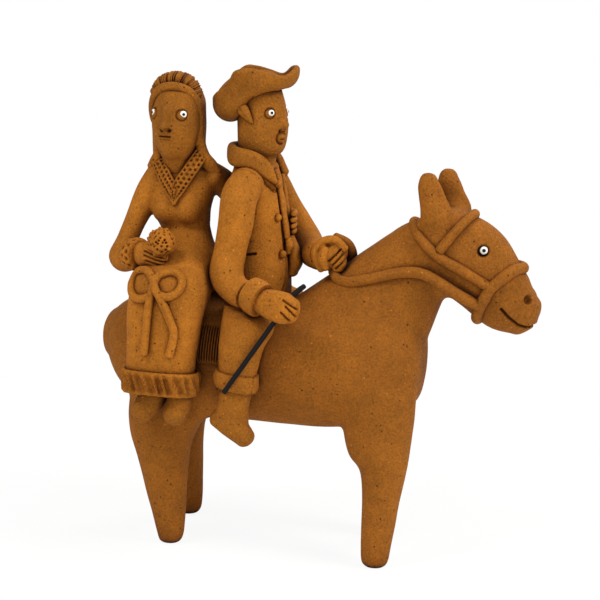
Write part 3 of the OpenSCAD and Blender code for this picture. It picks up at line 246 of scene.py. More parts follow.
def rings(keys, count=48, sides=36, ends=(0.4, 0.4), q=2.0, across=None, ref=Y, closed=False, dome=9):
    """Grid of rings |u/a|^q + |v/b|^q = 1 along the flow of the keys, with half-round ends.

    The rings lie parallel, across two given directions, or square to the path with ref giving their turn.
    An end is a quarter ellipse of dome rings: the last ring shrinks by cos(t) as it moves out by the end's
    height times sin(t).
    """
    rows = flow(keys, count, closed)
    centres, size = rows[:, :3], rows[:, 3:5]
    if across is None:
        step = np.roll(centres, -1, 0) - np.roll(centres, 1, 0) if closed else np.gradient(centres, axis=0)
        way = unit(step)
        side = unit(np.cross(ref, way))
        rise = np.cross(way, side)
    else:
        side, rise = (np.tile(np.asarray(v, float), (count, 1)) for v in across)
        way = np.cross(side, rise)
    if not closed:
        turn = np.linspace(0, LAST_RING, dome + 1)[1:]
        out, shrink = np.sin(turn)[:, None], np.cos(turn)[:, None]
        first, last = centres[0] - way[0] * ends[0] * out, centres[-1] + way[-1] * ends[1] * out
        centres = np.vstack([first[::-1], centres, last])
        size = np.vstack([(size[0] * shrink)[::-1], size, size[-1] * shrink])
        side, rise = (np.vstack([np.tile(v[0], (dome, 1)), v, np.tile(v[-1], (dome, 1))])
                      for v in (side, rise))
    angle = np.linspace(0, 2 * math.pi, sides, endpoint=False)
    u, v = squared(np.cos(angle), q)[None, :, None], squared(np.sin(angle), q)[None, :, None]
    return centres[:, None] + side[:, None] * size[:, None, :1] * u + rise[:, None] * size[:, None, 1:] * v


def skin(grid, closed=False):
    """Points and faces over a grid of rings, with a pole in the middle of each open end."""
    m, n = grid.shape[:2]
    index = np.arange(m * n).reshape(m, n)
    low = index if closed else index[:-1]
    high = np.roll(index, -1, 0) if closed else index[1:]
    quads = np.stack([low, np.roll(low, -1, 1), np.roll(high, -1, 1), high], -1).reshape(-1, 4)
    points = grid.reshape(-1, 3)
    if closed:
        return points, [quads]
    points = np.vstack([points, grid[0].mean(0), grid[-1].mean(0)])
    first, last = index[0], index[-1]
    start = np.stack([np.full(n, m * n), np.roll(first, -1), first], -1)
    finish = np.stack([np.full(n, m * n + 1), last, np.roll(last, -1)], -1)
    return points, [quads, np.vstack([start, finish])]


def loft(keys, **shape):
    """Closed skin over rings along the keys."""
    return skin(rings(keys, **shape), shape.get("closed", False))


def joined(*shapes):
    """Several skins as one list of points and faces."""
    base = np.cumsum([0] + [len(points) for points, _ in shapes])
    faces = [block + base[i] for i, (_, blocks) in enumerate(shapes) for block in blocks]
    return np.vstack([points for points, _ in shapes]), faces


def mirrored(shape):
    """The same skin on the far side of the group, with its faces turned round."""
    points, faces = shape
    return points * [1, -1, 1], [block[:, ::-1] for block in faces]


def pad(outer, inner):
    """Closed slab between an outer grid and an inner one, joined along their four borders."""
    m, n = outer.shape[:2]
    top = np.arange(m * n).reshape(m, n)
    quads = np.stack([top[:-1, :-1], top[1:, :-1], top[1:, 1:], top[:-1, 1:]], -1).reshape(-1, 4)
    under = (quads + m * n)[:, ::-1]
    rim = np.concatenate([top[0, :-1], top[:-1, -1], top[-1, :0:-1], top[:0:-1, 0]])
    rim_low = rim + m * n
    walls = np.stack([rim, np.roll(rim, -1), np.roll(rim_low, -1), rim_low], -1)
    return np.vstack([outer.reshape(-1, 3), inner.reshape(-1, 3)]), [quads, under, walls]


def pellet(place, way, d, h):
    """Lens of width d and height h each way about a place, facing way, with 0.1 mm of straight middle."""
    way = unit(way)
    ref = X if abs(way[0]) < 0.6 else Z
    keys = tube([place - way * 0.05, place + way * 0.05], d)
    return loft(keys, count=3, sides=28, ends=(h, h), ref=ref, dome=8)


# Meshes

def mesh_of(name, shape):
    """Mesh of a skin, moved from the drawing into the frame and from millimetres to metres."""
    points, faces = shape
    sizes = np.concatenate([np.full(len(block), block.shape[1]) for block in faces])
    corners = np.concatenate([block.ravel() for block in faces])
    mesh = bpy.data.meshes.new(name)
    mesh.vertices.add(len(points))
    mesh.vertices.foreach_set("co", ((points + STAND) * MM).ravel())
    mesh.loops.add(len(corners))
    mesh.loops.foreach_set("vertex_index", corners.astype(np.int32))
    mesh.polygons.add(len(sizes))
    mesh.polygons.foreach_set("loop_start", (np.cumsum(sizes) - sizes).astype(np.int32))
    mesh.update(calc_edges=True)
    return mesh


def read(mesh):
    """Points in the drawing's millimetres, and normals."""
    points = np.empty(len(mesh.vertices) * 3)
    mesh.vertices.foreach_get("co", points)
    normals = np.empty(len(mesh.vertices) * 3)
    mesh.vertex_normals.foreach_get("vector", normals)
    return points.reshape(-1, 3) / MM - STAND, normals.reshape(-1, 3)


def write(mesh, points):
    """Put the drawing's points back into the mesh."""
    mesh.vertices.foreach_set("co", ((points + STAND) * MM).ravel())
    mesh.update()


def edge_ends(mesh):
    """The two points of each edge."""
    ends = np.empty(len(mesh.edges) * 2, np.int32)
    mesh.edges.foreach_get("vertices", ends)
    return ends.reshape(-1, 2)


def evaluated(mesh, kind, **settings):
    """Mesh after one modifier."""
    holder = bpy.data.objects.new("holder", mesh)
    bpy.context.scene.collection.objects.link(holder)
    modifier = holder.modifiers.new("shape", kind)
    for key, value in settings.items():
        setattr(modifier, key, value)
    graph = bpy.context.evaluated_depsgraph_get()
    result = bpy.data.meshes.new_from_object(holder.evaluated_get(graph))
    name = mesh.name
    bpy.data.objects.remove(holder)
    bpy.data.meshes.remove(mesh)
    result.name = name
    return result


def luted(name, shape, voxel, fill, ease):
    """One skin over overlapping lumps, with the hollows between them smeared smooth.

    After a voxel remesh each round moves a point towards the mean of its neighbours: by the filling step in
    the first rounds where the mean lies outside the skin, so that only hollows fill, and by the easing step
    in the few last rounds, each followed by a step back, so that the forms keep their size.
    """
    mesh = evaluated(mesh_of(name, shape), "REMESH", mode="VOXEL", voxel_size=voxel)
    a, b = edge_ends(mesh).T
    count = len(mesh.vertices)
    degree = np.bincount(np.concatenate([a, b]), minlength=count)[:, None]
    points, normals = read(mesh)

    def pull():
        total = [np.bincount(a, points[b, k], count) + np.bincount(b, points[a, k], count)
                 for k in range(3)]
        return np.stack(total, -1) / degree - points

    for turn in range(fill):
        if turn % FRESH_NORMALS == 0 and turn:
            write(mesh, points)
            points, normals = read(mesh)
        move = pull()
        outward = (move * normals).sum(-1, keepdims=True)
        points = points + np.where(outward > 0, FILL_STEP, HOLD_STEP) * move
    for step in EASE_STEPS * ease:
        points = points + step * pull()
    write(mesh, points)
    return mesh


def finer(mesh, spots, reach):
    """Cut the faces near the spots in four."""
    points, _ = read(mesh)
    near = gap_to(points, spots, True) < reach
    chosen = np.flatnonzero(near[edge_ends(mesh)].all(1))
    work = bmesh.new()
    work.from_mesh(mesh)
    work.edges.ensure_lookup_table()
    bmesh.ops.subdivide_edges(work, edges=[work.edges[i] for i in chosen], cuts=1, use_grid_fill=True)
    work.to_mesh(mesh)
    work.free()
    mesh.update()


# Tool marks

def stroke(path, width, depth, way=None, sharp=2.0, dots=False):
    """A tool mark along a path, or at separate dots. A negative depth raises the clay."""
    return {"path": np.atleast_2d(np.asarray(path, float)), "width": width, "depth": depth,
            "way": None if way is None else unit(way), "sharp": sharp, "dots": dots}


def gap_to(points, path, dots):
    """Least distance from each point to the path's straight stretches, or to its dots."""
    if dots or len(path) == 1:
        return np.min([np.linalg.norm(points - spot, axis=1) for spot in path], axis=0)
    gaps = []
    for start, leg in zip(path[:-1], np.diff(path, axis=0)):
        t = np.clip((points - start) @ leg / (leg @ leg), 0, 1)
        gaps.append(np.linalg.norm(points - start - t[:, None] * leg, axis=1))
    return np.min(gaps, axis=0)


def pressed(points, normals, mark):
    """Depth of a mark: depth * exp(-(gap / width) ** sharp).

    With a way, the gap is measured square to it and only the faces that look against it are pressed.
    """
    path, way = mark["path"], mark["way"]
    facing = 1.0
    if way is not None:
        facing = np.clip(-3 * normals @ way, 0, 1)
        points = points - np.outer(points @ way, way)
        path = path - np.outer(path @ way, way)
    gap = gap_to(points, path, mark["dots"])
    return mark["depth"] * facing * np.exp(-(gap / mark["width"]) ** mark["sharp"])


def uneven(points, length):
    """Hand-made unevenness: the mean of plane waves, from the given length to four times it."""
    pick = np.random.default_rng(WAVE_SEED)
    ways = unit(pick.normal(size=(WAVES, 3)))
    waves = ways * (2 * math.pi / (length * pick.uniform(1, 4, WAVES)))[:, None]
    return np.sin(points @ waves.T + pick.uniform(0, 2 * math.pi, WAVES)).mean(1) * 2


def clay(name, shape, marks=(), slot="rider_clay", body="figurine", even=1.0, nodes=None):
    """A finished piece: its marks pressed in, its surface uneven, riding on its body in place of its nodes.

    Without nodes it stands for the node that its name gives, up to the last underscore.
    """
    mesh = shape if isinstance(shape, bpy.types.Mesh) else mesh_of(name, shape)
    points, normals = read(mesh)
    push = uneven(points, sized("lump_length")) * even * bpy.context.scene.clay_sizes.lump / MM
    for mark in marks:
        push = push - pressed(points, normals, mark)
    write(mesh, points + normals * push[:, None])
    mesh.polygons.foreach_set("use_smooth", np.ones(len(mesh.polygons), bool))
    mesh.materials.append(FINISHES[slot]())
    piece = bpy.data.objects.new(name, mesh)
    bpy.context.scene.collection.objects.link(piece)
    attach(piece, body)
    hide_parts(*(nodes or [name.rpartition("_")[0]]))


def sized(name):
    """A named size in millimetres."""
    return getattr(bpy.context.scene.clay_sizes, name) / MM


def circle(centre, way, radius):
    """Places round a centre, square to a level way."""
    side = unit(np.cross(Z, way))
    turn = np.linspace(0, 2 * math.pi, 33)[:, None]
    return centre + (side * np.cos(turn) + Z * np.sin(turn)) * radius


def fingers(paths, way):
    """Cuts between fingers."""
    return [stroke(path, sized("groove"), sized("groove_depth"), way, 2.4) for path in paths]


# Materials

def add(tree, kind, links=(), **settings):
    """Add a node, set its values and link its inputs: links are (output socket, input name or number)."""
    node = tree.nodes.new(kind)
    for key, value in settings.items():
        if key.startswith("in_"):
            target = int(key[3:]) if key[3:].isdigit() else key[3:].replace("_", " ")
            node.inputs[target].default_value = value
        else:
            setattr(node, key, value)
    for socket, target in links:
        tree.links.new(socket, node.inputs[target])
    return node


def shades(node, stops):
    """Set the stops of a colour ramp."""
    ramp = node.color_ramp
    while len(ramp.elements) < len(stops):
        ramp.elements.new(0.5)
    for element, (place, colour) in zip(ramp.elements, stops):
        element.position = place
        element.color = (*colour, 1)
    return node


def toned(colour, share):
    """A colour made darker or lighter by a share."""
    return tuple(min(1, c * share) for c in colour)


def material(name):
    """The named material if it is made already, or a new one with its tree and its shader."""
    made = bpy.data.materials.get(name)
    if made:
        return made, None, None
    made = bpy.data.materials.new(name)
    made.use_nodes = True
    return made, made.node_tree, made.node_tree.nodes["Principled BSDF"]


def earthenware(name, base, low, top):
    """Unglazed fired earthenware: matte, with cloudy firing tones, grit, burnt-out pits and sand grains.

    Painted shade darkens the tone to the low share below 50 mm above the floor, where less light reaches,
    and the tone is darker towards the top, to the top share above 190 mm.
    """
    made, tree, shader = material(name)
    if tree is None:
        return made
    place = add(tree, "ShaderNodeTexCoord").outputs["Object"]
    # Clouds of firing colour about 26 mm across, hand mottling of 5 mm, and grit, which is really finer
    # than half a millimetre and is drawn at 0.9 mm so that it shows
    cloud, mottle, grit = (
        add(tree, "ShaderNodeTexNoise", [(place, "Vector")], in_Scale=1 / (size * MM), in_Detail=detail,
            in_Roughness=rough).outputs[0]
        for size, detail, rough in ((26, 3.0, 0.5), (5, 4.0, 0.6), (0.9, 3.0, 0.7)))
    blend = add(tree, "ShaderNodeMix", [(cloud, 2), (mottle, 3)], in_0=0.45)
    tone = shades(add(tree, "ShaderNodeValToRGB", [(blend.outputs[0], 0)]),
                  [(0.4, toned(base, 0.86)), (0.5, base), (0.6, toned(base, 1.14))])
    # Dark pits about 0.7 mm wide in half of the cells of 3.4 mm, and pale sand grains in cells of 4.2 mm
    tint, masks = tone.outputs[0], []
    for cell, share, size, shade in ((3.4, 0.45, 0.15, 0.3), (4.2, 0.4, 0.11, 1.9)):
        cells = add(tree, "ShaderNodeTexVoronoi", [(place, "Vector")], in_Scale=1 / (cell * MM))
        chosen = add(tree, "ShaderNodeMath", [(cells.outputs["Color"], 0)], operation="GREATER_THAN",
                     in_1=share)
        spot = add(tree, "ShaderNodeMapRange", [(cells.outputs["Distance"], 0)], in_1=size, in_2=size * 0.4)
        mask = add(tree, "ShaderNodeMath", [(chosen.outputs[0], 0), (spot.outputs[0], 1)],
                   operation="MULTIPLY")
        masks.append(mask.outputs[0])
        tint = add(tree, "ShaderNodeMix", [(mask.outputs[0], 0), (tint, 6)], data_type="RGBA",
                   in_7=(*toned(base, shade), 1)).outputs[2]
    # Painted shade low down and darker tone towards the top, the grit's own tone, and painted shade in the
    # creases within 3 mm and the hollows within 22 mm
    level = add(tree, "ShaderNodeSeparateXYZ", [(place, 0)])
    share = add(tree, "ShaderNodeMapRange", [(level.outputs[2], 0)], in_1=0.0, in_2=200 * MM)
    grit_and_painted_shades = [
        (share.outputs[0], [(0.25, (low,) * 3), (0.5, (1, 1, 1)), (0.75, (1, 1, 1)), (0.95, (top,) * 3)]),
        (grit, [(0.34, (0.74, 0.72, 0.7)), (0.5, (1, 1, 1)), (0.66, (1.2, 1.2, 1.18))])]
    # Painted shade: ambient occlusion within 3 mm and 22 mm darkens the colour in creases and hollows,
    # where less light reaches
    for reach, stops in (
            (3, [(0.15, toned(base, 0.25)), (0.55, (0.66, 0.58, 0.5)), (0.92, (1, 1, 1))]),
            (22, [(0.06, (0.2, 0.16, 0.12)), (0.3, (0.56, 0.5, 0.42)), (0.7, (0.89, 0.86, 0.82)),
                  (0.98, (1.02, 1.02, 1.02))])):
        hollow = add(tree, "ShaderNodeAmbientOcclusion", samples=12, in_Distance=reach * MM)
        grit_and_painted_shades.append((hollow.outputs["AO"], stops))
    for socket, stops in grit_and_painted_shades:
        tone_and_shade_ramp = shades(add(tree, "ShaderNodeValToRGB", [(socket, 0)]), stops)
        tint = add(tree, "ShaderNodeMix", [(tint, 6), (tone_and_shade_ramp.outputs[0], 7)], data_type="RGBA",
                   blend_type="MULTIPLY", in_0=1.0).outputs[2]
    tree.links.new(tint, shader.inputs["Base Color"])
    rough = add(tree, "ShaderNodeMapRange", [(mottle, 0)], in_3=0.74, in_4=0.92)
    tree.links.new(rough.outputs[0], shader.inputs["Roughness"])
    shader.inputs["Specular IOR Level"].default_value = 0.12
    # Scrape marks of the smoothing tool, 2.4 mm wide and 20 mm long, running up and down
    drawn = add(tree, "ShaderNodeMapping", [(place, "Vector")],
                in_Scale=(1 / (2.4 * MM), 1 / (2.4 * MM), 1 / (20 * MM)))
    scrape = add(tree, "ShaderNodeTexNoise", [(drawn.outputs[0], "Vector")], in_Scale=1.0, in_Detail=1.0)
    # Relief: grit up to 0.7 mm high, pits 0.35 mm deep, scrapes 0.5 mm deep
    under = []
    for height, strength, depth, sunk in ((grit, 0.9, 0.7, False), (masks[0], 0.9, 0.35, True),
                                          (scrape.outputs[0], 0.5, 0.5, False)):
        relief = add(tree, "ShaderNodeBump", [(height, "Height"), *under], invert=sunk,
                     in_Strength=strength, in_Distance=depth * MM)
        under = [(relief.outputs[0], "Normal")]
    tree.links.new(relief.outputs[0], shader.inputs["Normal"])
    return made


def horse_clay():
    """The horse's darker body clay."""
    return earthenware("horse_earthenware", tuple(bpy.context.scene.clay_colours.horse), 1.0, 1.0)


def rider_clay():
    """The riders' lighter, yellower clay."""
    # 0.64 is the painted shade left below 50 mm, and 0.69 the darker tone towards the top above 190 mm
    return earthenware("rider_earthenware", tuple(bpy.context.scene.clay_colours.rider), 0.64, 0.69)


def coated(name, base, rough, specks):
    """A brushed coat of slip or paint: nearly even, thinner and duller in specks of about a millimetre."""
    made, tree, shader = material(name)
    if tree is None:
        return made
    place = add(tree, "ShaderNodeTexCoord").outputs["Object"]
    worn = add(tree, "ShaderNodeTexNoise", [(place, "Vector")], in_Scale=1 / (0.9 * MM), in_Detail=4.0)
    tone = shades(add(tree, "ShaderNodeValToRGB", [(worn.outputs[0], 0)]),
                  [(0.3, toned(base, 0.85)), (0.6, base), (0.78, specks)])
    tree.links.new(tone.outputs[0], shader.inputs["Base Color"])
    dull = add(tree, "ShaderNodeMapRange", [(worn.outputs[0], 0)], in_3=rough - 0.12, in_4=rough + 0.12)
    tree.links.new(dull.outputs[0], shader.inputs["Roughness"])
    shader.inputs["Specular IOR Level"].default_value = 0.14
    relief = add(tree, "ShaderNodeBump", [(worn.outputs[0], "Height")], in_Strength=0.4,
                 in_Distance=0.06 * MM)
    tree.links.new(relief.outputs[0], shader.inputs["Normal"])
    return made


def eye_slip():
    """White slip dabbed on the eyes."""
    base = tuple(bpy.context.scene.clay_colours.slip)
    return coated("white_slip", base, 0.55, base)


def pupil_paint():
    """Black dot on an eye."""
    base = tuple(bpy.context.scene.clay_colours.paint)
    return coated("black_dot", base, 0.4, base)


def black_stick():
    """Wood painted black, with greyer rubbed spots."""
    base = tuple(bpy.context.scene.clay_colours.paint)
    return coated("black_painted_wood", base, 0.7, srgb("#1c1a18"))


FINISHES = {"horse_clay": horse_clay, "rider_clay": rider_clay, "eye_slip": eye_slip,
            "pupil_paint": pupil_paint, "black_stick": black_stick}


# Horse

def on_head(share, rise, across=0.0):
    """Place on the horse's head: a share of its length, a rise from its axis, a share of its half width."""
    return HEAD_ROOT + HEAD_ALONG * HEAD_LENGTH * share + HEAD_UP * rise + Y * across * HEAD_HALF_W


TRUNK_KEYS = [
    [RUMP_X + 4, 0, TRUNK_Z + 6, 0.45 * FLANK, 0.4 * TRUNK_HALF],
    [RUMP_X + 11, 0, TRUNK_Z + 3, 0.74 * FLANK, 0.7 * TRUNK_HALF],
    [HIND_X - 17, 0, TRUNK_Z + 1, 0.9 * FLANK, 0.92 * TRUNK_HALF],
    [HIND_X + 2, 0, TRUNK_Z, FLANK, TRUNK_HALF],
    [MIDDLE_X - 16, 0, TRUNK_Z, FLANK, TRUNK_HALF],
    [MIDDLE_X + 14, 0, TRUNK_Z + 1, FLANK, TRUNK_HALF + 1],
    [FRONT_X - 13.5, 0, TRUNK_Z + 3, 0.96 * FLANK, TRUNK_HALF + 1],
    [FRONT_X + 2.5, 0, TRUNK_Z + 5, 0.82 * FLANK, 0.95 * TRUNK_HALF],
    [FRONT_X + 10.5, 0, TRUNK_Z + 6, 0.6 * FLANK, 0.7 * TRUNK_HALF]]
HIND_ROWS = [
    [0.018, 0, 5.2, 5.2], [0.06, 0, 6.2, 6.2], [0.23, -2, 8.5, 8.5], [0.49, -5, 11.75, 11.75],
    [0.64, -6, 15, 13.5], [0.82, -3, 19, 13], [1, 0, 18, 12]]
FRONT_ROWS = [
    [0.018, 0, 5.3, 5.3], [0.06, 0, 6.3, 6.3], [0.38, 1, 8.4, 8.8], [0.55, 1.3, 10.4, 10.8],
    [0.63, -1, 13.4, 12], [0.77, -2.3, 15.4, 12.5], [1, -3, 17, 12]]
FEET = [
    ([HIND_X, -22, 0], HIND_ROWS), ([HIND_X - 5, 22, 0], HIND_ROWS),
    ([FRONT_X, -22, 0], FRONT_ROWS), ([FRONT_X - 6.5, 22, 0], FRONT_ROWS)]
HEAD_ROWS = [
    [0, 0, 0.96, 0.98], [0.18, 1.3, 1, 1], [0.345, 2.7, 0.97, 1], [0.59, 0.5, 0.82, 0.9],
    [0.745, -0.5, 0.72, 0.84], [0.895, -0.2, 0.51, 0.72]]
NECK_KEYS = [
    [14.6, 0, 95.4, 31.8, 24], [24.9, 0, 109.6, 26.4, 20.3], [35.2, 0, 123.8, 21.3, 16.5],
    [44.2, 0, 135.8, 16.6, 13.3]]
POLL_KEYS = [[31, 0, 131.6, 10.4, 9.5], [40.6, 0, 141.4, 9.6, 10.4], [49, 0, 148.2, 7, 11.4]]
EAR_ROWS = [
    [0, 0, 0, 7, 4.8], [-0.4, 0, 6.6, 7, 4.6], [-2.4, 0, 12.5, 5.9, 4], [-3.6, 0, 16.8, 5.2, 4.2],
    [-4.2, 0, 20, 3.9, 3.5]]
EAR_ROOTS = [HEAD_ROOT + [1.2, -8, 8], HEAD_ROOT + [7, 8, 8.5]]
TAIL_KEYS = at([RUMP_X, 0, TRUNK_Z], [
    [4.2, 9, 14, 3.5, 3.5], [2, 11, 7, 3.5, 3.5], [3, 13, -4, 3.4, 3.4], [8, 16.5, -17, 2.9, 2.9],
    [13, 19.5, -28, 2.1, 2.1]])
HORSE_EYE = on_head(0.335, 12.4, -0.82)
NOSTRIL = np.array([92.2, -7.4, 121.7])
MOUTH = np.array([
    [81.4, -11, 117.5], [84.5, -10.1, 114.1], [88.8, -9, 110.8], [92.4, -6.4, 109.7], [95.5, -2, 110]])
BODY_NODES = [
    "horse_trunk", "horse_neck", "horse_head", "near_front_leg", "far_front_leg", "near_hind_leg",
    "far_hind_leg", "near_ear", "far_ear"]


def leg(foot, rows):
    """Leg from its sole into the trunk: rows are a share of the way to the hip, a shift and half sizes."""
    foot = np.array(foot, float)
    hip = np.array([foot[0], np.sign(foot[1]) * (FLANK - 14), TRUNK_Z - 6])
    keys = [[*(foot + (hip - foot) * share + X * shift), a, b] for share, shift, a, b in rows]
    return loft(keys, count=50, sides=36, ends=(2, 3), across=(X, Y))


class CLAY_OT_horse_body(bpy.types.Operator):
    """Horse: trunk, neck, head, legs and ears luted into one smooth skin, with its eyes and rolled tail."""

    bl_idname = "clay.horse_body"
    bl_label = "Horse body"

    def execute(self, context):
        """Loft the lumps, lute them together, flatten the soles and press in the features."""
        head = [[*on_head(s, r), a * HEAD_HALF_D, b * HEAD_HALF_W] for s, r, a, b in HEAD_ROWS]
        ears = [loft(at(root, EAR_ROWS), count=24, sides=24, ends=(0.3, 2.8), across=(X, Y), q=2.2)
                for root in EAR_ROOTS]
        lumps = joined(
            loft(TRUNK_KEYS, count=80, sides=60, ends=(4, 4), q=TRUNK_Q, across=(Y, Z)),
            loft(NECK_KEYS, count=30, sides=48, ends=(6, 6), q=2.1),
            loft(POLL_KEYS, count=12, sides=40, ends=(5, 5)),
            loft(head, count=50, sides=48, ends=(6, 5.5), q=2.15),
            *ears, *[leg(*foot) for foot in FEET])
        mesh = luted("horse_body_clay", lumps, context.scene.clay_sizes.horse_voxel, 70, 6)
        points, _ = read(mesh)
        points[:, 2] = np.maximum(points[:, 2], 0)
        write(mesh, points)
        sides = [np.array([1, s, 1]) for s in (1, -1)]
        spots = np.vstack([HORSE_EYE, NOSTRIL, MOUTH])
        for reach in (4.4, 3.4):
            finer(mesh, np.vstack([spots * side for side in sides]), reach)
        marks = []
        for side, root in zip(sides, EAR_ROOTS):
            inward = np.array([-0.35, side[1], 0])
            marks += [
                stroke(HORSE_EYE * side, sized("horse_eye") / 2, 3.2, Y * side[1], 8),
                stroke(NOSTRIL * side, 1.7, 2.1, inward, 4),
                stroke(circle(NOSTRIL * side, -inward, 2.6), 0.8, -0.5, inward),
                stroke(MOUTH * side, 2.2, -0.5, inward),
                stroke(MOUTH * side, 0.5, 1.9, inward),
                stroke([root + [1, 0, 8], root + [-2.6, 0, 16]], 2.2, 1.0, [-0.5, side[1], 0], 3)]
        clay("tail_clay", loft(TAIL_KEYS, count=60, sides=24, ends=(2.5, 1.5)), slot="horse_clay", even=1.5)
        clay("horse_body_clay", mesh, marks, "horse_clay", even=1.3, nodes=BODY_NODES)
        eyes = [(HORSE_EYE * side + [0, 1.2 * side[1], 0], np.array([0.15, -side[1], 0.1]))
                for side in sides]
        whites = joined(*[pellet(eye, way, 3.5, 1.1) for eye, way in eyes])
        pupils = joined(*[pellet(eye + unit(way) * 1.05, way, 1.6, 0.25) for eye, way in eyes])
        clay("horse_eyes_slip", whites, slot="eye_slip", even=0.3)
        clay("horse_pupils_paint", pupils, slot="pupil_paint", even=0)
        return {"FINISHED"}


def both_sides(rows, ring):
    """Rows on the near side followed by their mirror on the far side."""
    rows = np.array(rows, float)
    far = rows[-2:0:-1] if ring else rows[-2::-1]
    return np.vstack([rows, far * [1, 1, -1]])


def strap(rows, d, ref, ring=False):
    """Rolled strap round the head through the places of the rows."""
    places = [on_head(*row) for row in both_sides(rows, ring)]
    return loft(tube(places, d), count=130, sides=20, ends=(1, 1), ref=ref, closed=ring)


class CLAY_OT_bridle(bpy.types.Operator):
    """Bridle and reins: rolled coils pressed on the head and laid along the neck to the man's left fist."""

    bl_idname = "clay.bridle"
    bl_label = "Bridle and reins"

    def execute(self, context):
        """Lay the straps on the head and the reins along the neck."""
        crown = [
            [0.55, 2, -0.94], [0.32, 0.5, -1.03], [0.15, -1.3, -1.03], [0.01, -1.5, -1],
            [-0.136, -0.6, -0.74], [-0.226, 0.6, 0]]
        brow = [[0.079, 0.7, -1.03], [0.079, 10, -0.93], [0.085, 16.5, -0.57], [0.098, 20, 0]]
        nose = [
            [0.65, 15.4, 0], [0.605, 13, -0.55], [0.58, 8.4, -0.82], [0.56, 2, -0.94],
            [0.573, -3, -0.93], [0.59, -8, -0.8], [0.615, -12.3, -0.53], [0.63, -14.4, 0]]
        clay("crown_strap_clay", strap(crown, 4.6, HEAD_UP), slot="horse_clay")
        clay("brow_band_clay", strap(brow, 4.4, HEAD_ALONG), slot="horse_clay")
        clay("nose_band_clay", strap(nose, 5.2, HEAD_ALONG, True), slot="horse_clay")
        near = NECK_TOP + [
            [17, -15, -11.6], [9.7, -15.6, -7.4], [3.4, -15.5, -4.5], [-2.3, -15.5, -3.8],
            [-8.8, -15.6, -4.7], [-16.3, -15.8, -6.8], [-24.5, -15.4, -9.2], [-30.5, -13.6, -10.8]]
        near_end = LEFT_FIST + [[6, -6, -9.4], [3, -3, -6.4]]
        far = NECK_TOP + [
            [17, 15, -11.6], [9.7, 15.6, -7.4], [3.4, 15.6, -4.4], [-2.3, 15.6, -3.7],
            [-8.8, 15.6, -4.7], [-16.3, 15.8, -6.8], [-24.5, 15.4, -9.2], [-30, 13, -10]]
        far_end = LEFT_FIST + [[7.8, 9.5, -5.2], [9.2, 5.5, 0.4], [7.4, 2.5, 5.2], [2.4, 0.5, 7.8]]
        for name, s, places, end in (("near_rein", -1, near, near_end), ("far_rein", 1, far, far_end)):
            places = np.vstack([on_head(0.585, -7.2, 0.86 * s), places, end])
            coil = loft(tube(places, 4.9), count=150, sides=20, ends=(1.4, 1.4), ref=Z)
            clay(name + "_clay", coil, slot="horse_clay")
        return {"FINISHED"}


class CLAY_OT_saddle_blanket(bpy.types.Operator):
    """Saddle blanket: a slab bent over the back, with fringe lines scratched down to its hems."""

    bl_idname = "clay.saddle_blanket"
    bl_label = "Saddle blanket"

    def execute(self, context):
        """Offset the trunk's sections by a thickness that rounds off at the borders.

        A point is (x, a * C, z + b * S) with C and S the squared cosine and sine, and a and b grown by the
        thickness.
        """
        length, front, thick, sunk, lines, scratch = 38.0, MAN_SEAT[0] + 8, 2.6, 0.8, 32, 1.3
        start, sweep = math.radians(3), math.radians(174)
        trunk = flow(TRUNK_KEYS, 400)
        u = np.linspace(0, 1, 7 * lines + 1)
        v = np.linspace(0, 1, 121)
        x = front - length * u
        z, a, b = (np.interp(x, trunk[:, 0], trunk[:, k])[:, None] for k in (2, 3, 4))
        angle = start + sweep * v
        c, s = squared(np.cos(angle), TRUNK_Q), squared(np.sin(angle), TRUNK_Q)

        def border(t, share):
            near = np.clip(np.minimum(t, 1 - t) / share, 0, 1)
            return np.sqrt(1 - (1 - near) ** 2)

        grow = thick * border(u, 0.05)[:, None] * border(v, 0.02)[None, :]
        # The lines reach from close to the hem up to a fifth of the way over
        edge = np.minimum(v, 1 - v)
        hem = np.clip((0.2 - edge) / 0.02, 0, 1) * np.clip((edge - 0.012) / 0.01, 0, 1)
        wave = np.abs(np.cos(math.pi * lines * u)) ** 4
        grow = grow - scratch * wave[:, None] * hem[None, :]
        base = np.stack(np.broadcast_arrays(x[:, None], a * c, z + b * s), -1)
        out = np.stack(np.broadcast_arrays(0 * x[:, None], np.cos(angle)[None], np.sin(angle)[None]), -1)
        clay("saddle_blanket_clay", pad(base + out * grow[..., None], base - out * sunk), slot="horse_clay")
        return {"FINISHED"}


# Man

def facing(turn, spread=0.0):
    """Level direction at an angle from the horse's way forward, in degrees."""
    angle = math.radians(turn + spread)
    return np.array([math.cos(angle), math.sin(angle), 0.0])


def eye_rings(eyes, ways, d):
    """Rings stamped round the eyes with a tube of width d, and the clay raised inside them."""
    marks = []
    for eye, way in zip(eyes, ways):
        marks += [stroke(circle(eye, way, d / 2), 0.36, 0.95, -unit(way)),
                  stroke(eye, d * 0.3, -0.3, -unit(way))]
    return marks


def eye_pair(name, eyes, ways, shifts, white):
    """White dabs and black pupils on two eyes, each dab shifted sideways and a little up in its ring."""
    spots = [eye + way * 0.25 + unit(np.cross(Z, way)) * shift + Z * 0.4
             for eye, way, shift in zip(eyes, ways, shifts)]
    whites = joined(*[pellet(spot, way, white, 0.62) for spot, way in zip(spots, ways)])
    pupils = joined(*[pellet(spot + unit(way) * 0.58, way, 1.3, 0.2) for spot, way in zip(spots, ways)])
    clay(name + "_eyes_slip", whites, slot="eye_slip", even=0.2)
    clay(name + "_pupils_paint", pupils, slot="pupil_paint", even=0)


